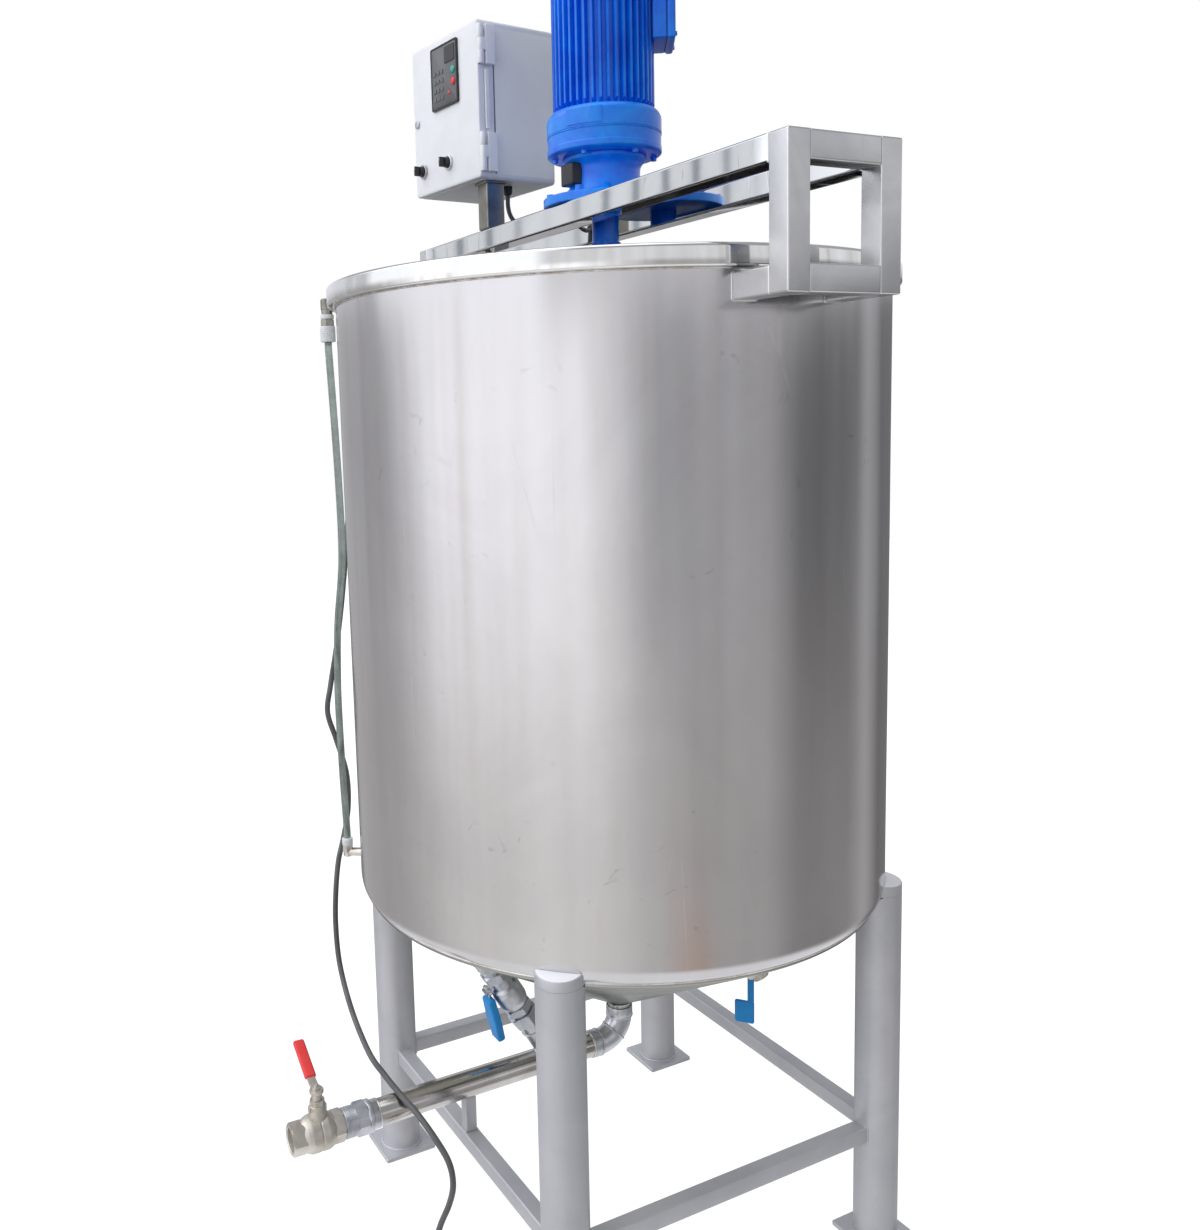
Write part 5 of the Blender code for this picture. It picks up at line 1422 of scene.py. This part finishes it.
# %% Union and the strut that carries the pipe
union_turned = turned(
    [
        (0, 0.0), (0.0255, 0.0), (0.0255, 0.0120), (0.0288, 0.0130), (0.0288, 0.0200), (0.0262, 0.0215),
        (0.0262, 0.0655), (0, 0.0655)
    ],
    0.0010, 3, 64
)
union_nut = hexagon(0.0520, 0.0210, 0.0430)
threads = [bead(circle(0.0262, z, 72), 0.0009, 0.5) for z in np.arange(0.0480, 0.0640, 0.0030)]
union_shape = aimed(joined(union_turned, union_nut, *threads), LEFT, (-0.5243, 0, DRAIN_Z))
piece("drain_union_nut", union_shape, matt_steel, instead=["drain_union"])
strut_low, strut_high = BRACE_HIGH + 0.0003, DRAIN_Z - 0.0225
strut = soft_box((-0.3510, -0.011, strut_low), (-0.3290, 0.011, strut_high), 0.0022, 3, 12)
strut_points = strut[0].copy()
seat = DRAIN_Z - np.sqrt(np.maximum(PIPE_RADIUS**2 - strut_points[:, 1] ** 2, 0)) + 0.0002
lift = np.clip((strut_points[:, 2] - strut_low) / (strut_high - strut_low), 0, 1)
strut_points[:, 2] += lift**4 * (seat - strut_high)
strut_feet = []
for x in (-0.3514, -0.3286):
    line = np.column_stack([np.full(24, x), np.linspace(-0.011, 0.011, 24), np.full(24, strut_low + 0.0008)])
    strut_feet.append(bead(line, 0.0018, 0.005, ring=False))
piece(
    "pipe_strut", joined((strut_points, strut[1]), *strut_feet), silver_paint,
    instead=["pipe_prop"]
)
print("union and strut done")

# %% [markdown]
# ## The ball valve
# A cast body between two hexagon ends, a bonnet with its packing nut, and a bent strap as the
# lever. The strap is drawn along its own line, so its bend stays smooth, and the sleeve is the
# same path with a thicker section whose ends are drawn in.

# %% Ball valve
valve_body = turned(
    [
        (0, 0.0150), (0.0240, 0.0150), (0.0300, 0.0230), (0.0330, 0.0300), (0.0330, 0.0425), (0.0318, 0.0432),
        (0.0318, 0.0442), (0.0330, 0.0450), (0.0330, 0.0610), (0.0295, 0.0690), (0.0240, 0.0760), (0, 0.0760)
    ],
    0.0025, 4, 64
)
valve_ends = [hexagon(0.0500, 0.0, 0.0205), hex_mouth(0.0500, 0.0715, 0.0957, 0.0200, 0.030)]
valve_lies = aimed(joined(valve_body, *valve_ends), LEFT, (VALVE_NEAR, 0, DRAIN_Z))
bonnet_profile = [
    (0, 0.020), (0.0185, 0.020), (0.0165, 0.0360), (0.0140, 0.0440), (0.0140, 0.0520), (0.0095, 0.0530),
    (0.0095, 0.0736), (0, 0.0736)
]
bonnet = moved(turned(bonnet_profile, 0.0015, 3, 40), (0, 0, DRAIN_Z))
packing = moved(hexagon(0.0240, 0.0510, 0.0620), (0, 0, DRAIN_Z))
stops = [moved(soft_box((-0.0160, -0.0050, 0.0400), (0.0160, 0.0050, 0.0515), 0.0015), (0, 0, DRAIN_Z))]
valve_top = moved(joined(bonnet, packing, *stops), (VALVE_X, 0, 0))
piece(
    "drain_valve_casting", joined(valve_lies, valve_top), cast_steel,
    instead=["drain_valve"]
)

# %% Its lever, which turns about the valve's stem
LEVER_Z, LEVER_TURN = 0.398, np.radians(-4)
rise = np.radians(14)
lever_line = np.array(
    [
        (0, -0.010, 0.0040), (0, 0.030, 0.0040),
        (0, 0.030 + 0.101 * np.cos(rise), 0.0060 + 0.101 * np.sin(rise))
    ]
)
lever_path = resampled(lever_line, 60)
lever_strap = strap(lever_path, (1, 0, 0), 0.0078, 0.0015)
lever_hub = rod(0.0125, 0.0002, 0.0065, 0.001, 2, 32)
lever_nut = joined(hexagon(0.0130, 0.0060, 0.0120), rod(0.0035, 0.006, 0.0150, 0.0006, 2, 20))
grip = sleeve(lever_path[20:], (1, 0, 0), 0.0104, 0.0046)
for name, shape, finish, slot, instead in (
    ("drain_lever_strap", joined(lever_strap, lever_hub, lever_nut), cast_steel, "cast_stainless", ()),
    ("drain_lever_sleeve", grip, red_sleeve, "red_grip", ["drain_lever"]),
):
    piece(
        name, moved(around(shape, LEVER_TURN), (VALVE_X, 0, LEVER_Z)), finish, "drain_handle", instead
    )
print("drain valve done")

# %% [markdown]
# ## The branch and the sample valve
# A second outlet leaves the cone at right angles and runs down into the drain pipe. It is one
# turned profile along that slanting line with hexagons on it. Where it meets the pipe, the
# bead's loop is where the two cylinders cross: z = sqrt(0.0243^2 - y^2) above the pipe's axis.

# %% Branch outlet, square to the cone
slope = np.arctan(CONE_SLOPE)
BRANCH_AIM = np.array([np.sin(slope), 0, -np.cos(slope)])
BRANCH_SIDE = np.array([-np.cos(slope), 0, -np.sin(slope)])
BRANCH_FOOT = np.array([-0.300, 0, cone_height(0.300)])
branch_end = (BRANCH_FOOT[2] - DRAIN_Z) / np.cos(slope) - 0.006
branch_profile = [
    (0, -0.0002), (0.0245, -0.0002), (0.0245, 0.0200), (0.0215, 0.0240), (0.0215, 0.0740), (0.0262, 0.0800),
    (0.0285, 0.0900), (0.0285, 0.1150), (0.0262, 0.1250), (0.0215, 0.1300), (0.0215, branch_end),
    (0, branch_end)
]
branch_turned = turned(branch_profile, 0.0022, 4, 64)
branch_hexes = [
    hexagon(0.0480, 0.0360, 0.0540), hexagon(0.0480, 0.1290, 0.1440), hexagon(0.0520, 0.1480, 0.1740)
]
branch_beads = [
    bead(circle(r, z, 110), 0.0018, 0.005) for r, z in ((0.0250, 0.0006), (0.0222, 0.0200), (0.0220, 0.1960))
]
branch_stem = aimed(
    turned(
        [(0, 0), (0.0120, 0), (0.0120, 0.0180), (0.0085, 0.0190), (0.0085, 0.0262), (0, 0.0262)], 0.0008, 2,
        32
    ),
    BRANCH_SIDE, BRANCH_FOOT + 0.064 * BRANCH_AIM
)
branch_shape = aimed(joined(branch_turned, *branch_hexes, *branch_beads), BRANCH_AIM, BRANCH_FOOT)
around_pipe = np.linspace(0, 2 * np.pi, 90, endpoint=False)
across = 0.0218 * np.sin(around_pipe)
drop = (
    BRANCH_FOOT[2] + 0.0218 * np.cos(around_pipe) * BRANCH_SIDE[2] - DRAIN_Z - np.sqrt(0.0243**2 - across**2)
) / np.cos(slope)
saddle = BRANCH_FOOT + drop[:, None] * BRANCH_AIM + 0.0218 * np.cos(around_pipe)[:, None] * BRANCH_SIDE
saddle = saddle + across[:, None] * [0, 1, 0]
piece(
    "branch_fitting", joined(branch_shape, branch_stem, bead(saddle, 0.0020, 0.005, hint=(0, 0, 1))),
    matt_steel, instead=["branch_valve"]
)
print("branch fitting:", round(float(branch_end), 3), "m long")

# %% Lever of the branch valve
crank = np.radians(18)
tilt_line = BRANCH_AIM * np.cos(crank) + BRANCH_SIDE * np.sin(crank)
pivot = BRANCH_FOOT + 0.064 * BRANCH_AIM + 0.0265 * BRANCH_SIDE
lever_reach = np.linspace(-0.010, 0.103, 50)[:, None]
lever_path = pivot + 0.0055 * BRANCH_SIDE + lever_reach * tilt_line
branch_strap = strap(lever_path, (0, 1, 0), 0.0070, 0.0014)
branch_nut = aimed(
    joined(hexagon(0.0150, 0.0065, 0.0115), rod(0.0115, 0.0003, 0.0065, 0.0008, 2, 32)), BRANCH_SIDE, pivot
)
swell_line = 0.0160 + 0.0035 * np.sin(np.linspace(0, np.pi, 40)) ** 2
branch_grip = sleeve(lever_path[10:], (0, 1, 0), swell_line, 0.0075)
piece(
    "branch_lever_strap", joined(branch_strap, branch_nut), matt_steel, "branch_handle"
)
piece("branch_lever_sleeve", branch_grip, blue_sleeve, "branch_handle", ["branch_lever"])
print("branch lever done")

# %% Sample valve close under the cone on the right
SAMPLE = np.array([0.160, -0.200])
reach = np.hypot(*SAMPLE)
out_x, out_y = SAMPLE / reach
SAMPLE_AIM = np.array([out_x * np.sin(slope), out_y * np.sin(slope), -np.cos(slope)])
SAMPLE_SIDE = np.array([out_y, -out_x, 0.0])
SAMPLE_FOOT = np.array([*SAMPLE, cone_height(reach)])
sample_profile = [
    (0, 0.0006), (0.0160, 0.0006), (0.0160, 0.0120), (0.0215, 0.0170), (0.0215, 0.0360), (0.0165, 0.0420),
    (0.0165, 0.0500), (0.0120, 0.0505), (0.0120, 0.0420), (0, 0.0420)
]
sample_turned = joined(
    turned(sample_profile, 0.0012, 3, 48), hexagon(0.0310, 0.0400, 0.0480),
    bead(circle(0.0166, 0.0012, 90), 0.0016, 0.005)
)
sample_stem = aimed(
    turned(
        [(0, 0), (0.0085, 0), (0.0085, 0.0250), (0.0060, 0.0260), (0.0060, 0.0296), (0, 0.0296)], 0.0006, 2,
        24
    ),
    SAMPLE_SIDE, SAMPLE_FOOT + 0.026 * SAMPLE_AIM
)
piece(
    "sample_fitting", joined(aimed(sample_turned, SAMPLE_AIM, SAMPLE_FOOT), sample_stem), cast_steel,
    instead=["sample_valve"]
)
sample_pivot = SAMPLE_FOOT + 0.026 * SAMPLE_AIM + 0.030 * SAMPLE_SIDE
strip = soft_box((-0.0060, -0.0080, -0.0950), (0.0060, -0.0020, 0.0040), 0.0022, 4, 4)
wide_grip = soft_box((-0.0300, -0.0092, -0.0975), (0.0064, -0.0008, -0.0540), 0.0040, 5, 4)
sample_nut = aimed(
    joined(hexagon(0.0120, 0.0080, 0.0125), rod(0.0095, 0.0003, 0.0085, 0.0008, 2, 24)), SAMPLE_SIDE
)
sample_turn = np.arctan2(out_y, out_x)
piece(
    "sample_lever_sleeve", moved(around(joined(strip, wide_grip), sample_turn), sample_pivot), blue_sleeve,
    "sample_handle", ["sample_lever"]
)
piece("sample_lever_nut", moved(sample_nut, sample_pivot), cast_steel, "sample_handle")
print("valves done")

# %% [markdown]
# ## Control box, gauge and cords
# The box is a moulded shell with an open front and a separate door. Everything on the door
# is placed in the hinge's own directions first, so that one function moves it all.

# %% Case of the control box
BOX_HIGH = 0.300
DOOR_AXIS = np.array([-0.093, -0.131, 0.0])


def on_door(points):
    """Points of the door, given from its hinge axis, in the vessel's frame."""
    return box_place(np.asarray(points, float) + DOOR_AXIS)


def facing_left(shape, middle_y, middle_z, face):
    """A plate's own (x, y, height) laid on a wall that looks along -x: (face - height, x, y)."""
    points = shape[0]
    laid = np.stack([face - points[:, 2], middle_y + points[:, 0], middle_z + points[:, 1]], 1)
    return mapped(shape, laid)


def box_piece(name, shape, finish, instead=()):
    """A piece given in the box's own directions, which stands still on the post."""
    return piece(name, (box_place(shape[0]), shape[1]), finish, instead=instead)


def door_piece(name, shape, finish, instead=(), body="box_door"):
    """A piece given in the hinge's own directions, which swings with the door."""
    return piece(name, (on_door(shape[0]), shape[1]), finish, body, instead)


# %% The case's tray and its side plates
wall, half_y, half_z = 0.0035, 0.125, BOX_HIGH / 2
case_rows = [
    (-0.0812, wall + 0.002), (-0.0810, wall), (0.0845, wall), (0.0850, wall - 0.0005), (0.0850, 0.0006),
    (0.0844, 0.0), (-0.0824, 0.0), (-0.0842, 0.0010), (-0.0850, 0.0028)
]
case = facing_left(plate(half_y, half_z, 0.008, case_rows), 0.0, half_z, 0.0)
# The side plates carry the brighter copy of the box paint: painted light on the sides.
lit_side_plates = [
    soft_box(
        (-0.0585, low, 0.0100), (0.0830, low + 0.0010, 0.2870), 0.0004, 2, 6
    ) for low in (-0.1258, 0.1248)
]
# Dark rubber strips just beyond each side plate's edge: painted shade in the gap between plate and case.
side_shade_strips = [
    soft_box((-0.0618, low, 0.0100), (-0.0592, low + 0.0006, 0.2870), 0.0002, 2) for low in (-0.1255, 0.1249)
]
lit_side_plates, side_shade_strips = joined(*lit_side_plates), joined(*side_shade_strips)
box_piece("control_box_case", case, box_paint, ["control_box"])
box_piece("control_box_lit_side_plates", lit_side_plates, side_paint_lit)
box_piece("control_box_side_shade_strips", side_shade_strips, cable_rubber)
print("case done")

# %% The hinges' fixed halves
leaves = []
for low in (0.012, BOX_HIGH - 0.086):
    leaves.append(soft_box((0.0088, -0.0062, low), (0.0300, 0.0058, low + 0.074), 0.0012))
    leaves.append(soft_box((0.0000, -0.0060, low + 0.0255), (0.0100, -0.0010, low + 0.0485), 0.0008))
    leaves.append(rod(0.0060, low + 0.0252, low + 0.0488, 0.0006, 2, 32))
rail = soft_box((0.0092, -0.0004, 0.094), (0.0180, 0.0058, BOX_HIGH - 0.094), 0.0010)
door_piece("control_box_hinges", joined(*leaves, rail), hinge_paint_lit, body="tank")
print("hinges done")

# %% [markdown]
# ## Inside the box
# With the door open, a galvanised plate shows with a drive, a row of breakers and a row of
# terminals on rails. They are plain units of the usual sizes, so that the open box isn't bare.

# %% Mounting plate and units
mounting = facing_left(
    plate(0.112, 0.136, 0.004, [(0, 0), (0.0022, 0), (0.0030, 0.0008)]), 0.0, half_z, 0.0740
)
inside = [mounting]
for z in (0.070, 0.200):
    inside.append(soft_box((0.0645, -0.095, z - 0.0175), (0.0706, 0.095, z + 0.0175), 0.0008))
inside_grey = [
    soft_box(
        (0.0050, -0.088 + 0.0182 * k, 0.158), (0.0640, -0.088 + 0.0182 * k + 0.0176, 0.243), 0.0015
    ) for k in range(5)
]
inside_grey.append(soft_box((-0.0300, 0.018, 0.135), (0.0640, 0.090, 0.262), 0.0030))
inside_grey += [
    soft_box(
        (0.0180, -0.090 + 0.0122 * k, 0.046), (0.0640, -0.090 + 0.0122 * k + 0.0116, 0.092), 0.0010
    ) for k in range(14)
]
box_piece("box_mounting_plate", joined(*inside), ground_steel)
box_piece("box_inside_units", joined(*inside_grey), grey_plastic)
print("inside:", len(inside_grey), "units")

# %% Cable glands under the box
gland_shape = joined(
    hexagon(0.0240, -0.0095, -0.0003),
    turned(
        [
            (0, -0.0240), (0.0080, -0.0240), (0.0118, -0.0185), (0.0125, -0.0120), (0.0125, -0.0085),
            (0, -0.0085)
        ],
        0.0012, 3, 40
    )
)
for name, place, size in (
    ("cord_gland", (-0.0153, -0.0406), 1.0), ("motor_cable_gland", (0.0033, -0.0707), 0.75)
):
    gland = moved((gland_shape[0] * size, gland_shape[1]), [*place, -0.0003 * (1 - size)])
    box_piece(name + "_nut", gland, black_plastic, [name])
print("glands done")

# %% [markdown]
# ## The door
# The door is a shallow tray with knuckles that interlock with the fixed leaves. The operator
# panel is a raised frame round a film with embossed keys, a display and two buttons. It has no
# words. The knobs turn in steel rings.

# %% Door leaf with its knuckles and lock
door_rows = [
    (-0.0077, 0.0012), (-0.0071, 0.0), (0.0030, 0.0), (0.0050, 0.0010), (0.0060, 0.0030), (0.0063, 0.0060)
]
door_plate = facing_left(plate(0.1265, 0.149, 0.007, door_rows), 0.1295, half_z, 0.0)
knuckles = []
for low in (0.012, BOX_HIGH - 0.086):
    for start in (low, low + 0.049):
        knuckles.append(rod(0.0065, start, start + 0.025, 0.0006, 2, 32))
    knuckles.append(soft_box((-0.0040, 0.000, low), (0.0018, 0.008, low + 0.025), 0.0008))
    knuckles.append(soft_box((-0.0040, 0.000, low + 0.049), (0.0018, 0.008, low + 0.074), 0.0008))
lock = facing_left(
    turned([(0, 0.0), (0.0085, 0.0), (0.0085, 0.0030), (0.0070, 0.0040), (0, 0.0040)], 0.0006, 2, 32), 0.240,
    0.150, -0.0060
)
door_piece("door_leaf", joined(door_plate, *knuckles), box_paint, ["control_box_door"])
print("door leaf done")

# %% Operator panel
DOOR_FACE = -0.0063
PANEL_Y, PANEL_Z = 0.122, 0.2205
frame_rows = [(0.0, 0.0), (0.0044, 0.0), (0.0052, 0.0008), (0.0052, 0.0030), (0.0040, 0.0036)]
panel_plate = facing_left(plate(0.0500, 0.0615, 0.004, frame_rows), PANEL_Y, PANEL_Z, DOOR_FACE - 0.0001)
door_piece("operator_panel_frame", panel_plate, black_plastic, ["operator_panel"])
PANEL_FACE = DOOR_FACE - 0.0041
field_rows = [(0.0, 0.0), (0.0006, 0.0), (0.0008, 0.0004)]
field = facing_left(plate(0.0458, 0.0573, 0.003, field_rows), PANEL_Y, PANEL_Z, PANEL_FACE + 0.0002)
keys = [
    facing_left(
        plate(0.0050, 0.0040, 0.0014, [(0.0, 0.0), (0.0010, 0.0), (0.0014, 0.0006)]), y, z,
        PANEL_FACE - 0.0005
    ) for y in (0.129, 0.143, 0.157) for z in (0.179, 0.196, 0.213, 0.230)
]
door_piece("operator_panel_field", joined(field, *keys), panel_film)
window_rows = [(0.0, 0.0), (0.0014, 0.0), (0.0018, 0.0006)]
window = facing_left(plate(0.0190, 0.0160, 0.002, window_rows), 0.0980, 0.2575, PANEL_FACE - 0.0003)
door_piece("display_window", window, black_plastic)
print("panel done,", len(keys), "keys")

# %% Buttons and lamp
dome = [(0, 0.0), (0.0072, 0.0), (0.0072, 0.0016), (0.0060, 0.0030), (0.0030, 0.0040), (0, 0.0042)]
for name, y, z, size, finish, slot in (
    ("start_button", 0.0860, 0.2240, 1.0, green_plastic, "black_plastic"),
    ("stop_button", 0.0855, 0.2010, 1.0, red_sleeve, "red_grip"),
    ("status_lamp", 0.1030, 0.1830, 0.55, red_sleeve, "red_grip"),
):
    cap = facing_left(lathe(rounded(dome, 0.0008, 2) * size, 32), y, z, PANEL_FACE - 0.0004)
    door_piece(name, cap, finish)
print("buttons done")

# %% Selector knobs in their rings
KNOB_Y, KNOB_Z = {"left": 0.2205, "right": 0.1195}, 0.050
bezels = [lock]
for y in KNOB_Y.values():
    ring_profile = [(0.0112, 0.0002), (0.0148, 0.0002), (0.0148, 0.0040), (0.0138, 0.0052), (0.0112, 0.0052)]
    bezels.append(facing_left(turned(ring_profile, 0.0006, 2, 48, ring=True), y, KNOB_Z, DOOR_FACE))
door_piece("knob_bezels", joined(*bezels), matt_steel)
knob_turned = turned(
    [(0, 0.0004), (0.0108, 0.0004), (0.0108, 0.0070), (0.0098, 0.0120), (0, 0.0124)], 0.0010, 3, 48
)
finger_bar = soft_box((-0.0030, -0.0098, 0.0080), (0.0030, 0.0098, 0.0240), 0.0018, 4)
mark = soft_box((-0.0006, 0.0020, 0.0236), (0.0006, 0.0090, 0.0242), 0.0002, 2)
grip = joined(knob_turned, finger_bar)
for name, y in KNOB_Y.items():
    for part, shape, finish, instead in (
        ("grip", grip, black_plastic, ["selector_knob_" + name]), ("mark", mark, white_plastic, ())
    ):
        shape = facing_left(shape, y, KNOB_Z, DOOR_FACE - 0.0002)
        door_piece(f"knob_{name}_{part}", shape, finish, instead, "knob_" + name)
print("knobs done")

# %% [markdown]
# ## The level gauge
# A clear hose stands beside the wall between two elbows, and the liquid in it shows the level.
# Each elbow is an arm, a ball-shaped knee and a riser with a nut, so one function builds both,
# the right way up or upside down.

# %% Gauge fittings: a threaded elbow on the wall and a cap nut on the hose
def gauge_fitting(place, start, height, low, high, cap_radius, riser_radius, sign):
    """Arm, ball-shaped knee, riser and nut of a fitting; sign is +1 where the hose is above the arm."""
    place = np.array(place)
    distance = np.linalg.norm(place)
    away = np.append(place / distance, 0.0)
    reach = distance - start
    arm_outline = [
        (0, 0), (riser_radius + 0.0015, 0), (riser_radius + 0.0015, 0.008), (0.0085, 0.009), (0.0085, reach),
        (0, reach)
    ]
    arm = aimed(turned(arm_outline, 0.0008, 2, 40), away, away * start + [0, 0, height])
    ball = [
        (0, height - riser_radius), (riser_radius, height - riser_radius),
        (riser_radius, height + riser_radius), (0, height + riser_radius)
    ]
    near, far = (height, low) if sign > 0 else (high, height)
    riser = [(0, near), (riser_radius - 0.001, near), (riser_radius - 0.001, far), (0, far)]
    nut_low, nut_high = (low - 0.013, low) if sign > 0 else (high, high + 0.012)
    shapes = [turned(ball, 0.0040, 4, 40), lathe(riser, 40), hexagon(2.0 * riser_radius, nut_low, nut_high)]
    cap_outline = [
        (0, low), (cap_radius, low), (cap_radius, high - 0.001), (cap_radius - 0.001, high), (0, high)
    ]
    ribs = [bead(circle(cap_radius, z, 60), 0.0007, 0.6) for z in np.arange(low + 0.004, high - 0.003, 0.004)]
    cap = joined(turned(cap_outline, 0.0010, 3, 40), *ribs)
    if sign < 0:
        band = [
            (0, high + 0.0135), (riser_radius + 0.0012, high + 0.0135),
            (riser_radius + 0.0012, high + 0.0215), (0, high + 0.0215)
        ]
        cap = joined(cap, turned(band, 0.0010, 3, 40))
    return joined(arm, moved(joined(*shapes), (*place, 0))), moved(cap, (*place, 0))


for name, finish, values in (
    ("upper", dull_steel, ((-0.446, 0.285), 0.5157, 1.785, 1.7155, 1.745, 0.0142, 0.0115, -1)),
    ("lower", weld_steel, ((-0.448, 0.305), 0.5003, 0.698, 0.7120, 0.7277, 0.0104, 0.0092, 1)),
):
    elbow, cap = gauge_fitting(*values)
    piece("gauge_elbow_" + name, elbow, finish, instead=["gauge_fitting_" + name])
    piece("gauge_cap_" + name, cap, white_plastic)
print("gauge fittings done")

# %% [markdown]
# ## The cords again
# The curves were made first. Here they get their material, their body and the CAD nodes that
# they stand for. The supply cord also gets its plug and three ties round the coil.

# %% Finishes of the cords
for made, finish, slot, nodes in (
    (supply_cord, cable_rubber, "cable_jacket", ["supply_cord", "supply_cord_coil"]),
    (gauge_hose, clear_tube, "clear_hose", ["gauge_hose"]),
    (motor_cable, cable_rubber, "cable_jacket", ["motor_cable"]),
):
    made.data.materials.append(finish)
    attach(made, "tank")
    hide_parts(*nodes)
print("cords finished")

# %% Plug
plug_profile = [
    (0, 0), (0.0095, 0), (0.0110, 0.022), (0.0200, 0.034), (0.0250, 0.046), (0.0258, 0.060), (0.0235, 0.066),
    (0.0235, 0.100), (0.0258, 0.103), (0.0258, 0.108), (0.0240, 0.110), (0, 0.110)
]
plug_turned = turned(plug_profile, 0.0018, 3, 56)
plug_ribs = [bead(circle(0.0240, z, 60), 0.0011, 5.0) for z in np.arange(0.070, 0.098, 0.004)]
plug_body = piece(
    "plug_body", aimed(joined(plug_turned, *plug_ribs), (0, -1, 0), plug_face), black_plastic,
    instead=["supply_plug"]
)
print("plug done")

# %% Ties round the coil
ties = []
for angle in (0.45, 1.95, 3.9):
    band = round_rectangle(0.0127, 0.0183, 0.005, 5)
    band = np.column_stack([band[:, 0] + COIL_MEAN, np.zeros(len(band)), band[:, 1] + 0.0176])
    band[:, 2] = np.maximum(band[:, 2], 0.0009)
    loop = band @ np.array([[np.cos(angle), np.sin(angle), 0], [-np.sin(angle), np.cos(angle), 0], [0, 0, 1]])
    ties.append(moved(bead(loop, 0.0016, 5.0, hint=(-np.sin(angle), np.cos(angle), 0)), (*COIL_CENTRE, 0)))
piece("coil_ties", joined(*ties), black_plastic)
print(len(ties), "ties done")
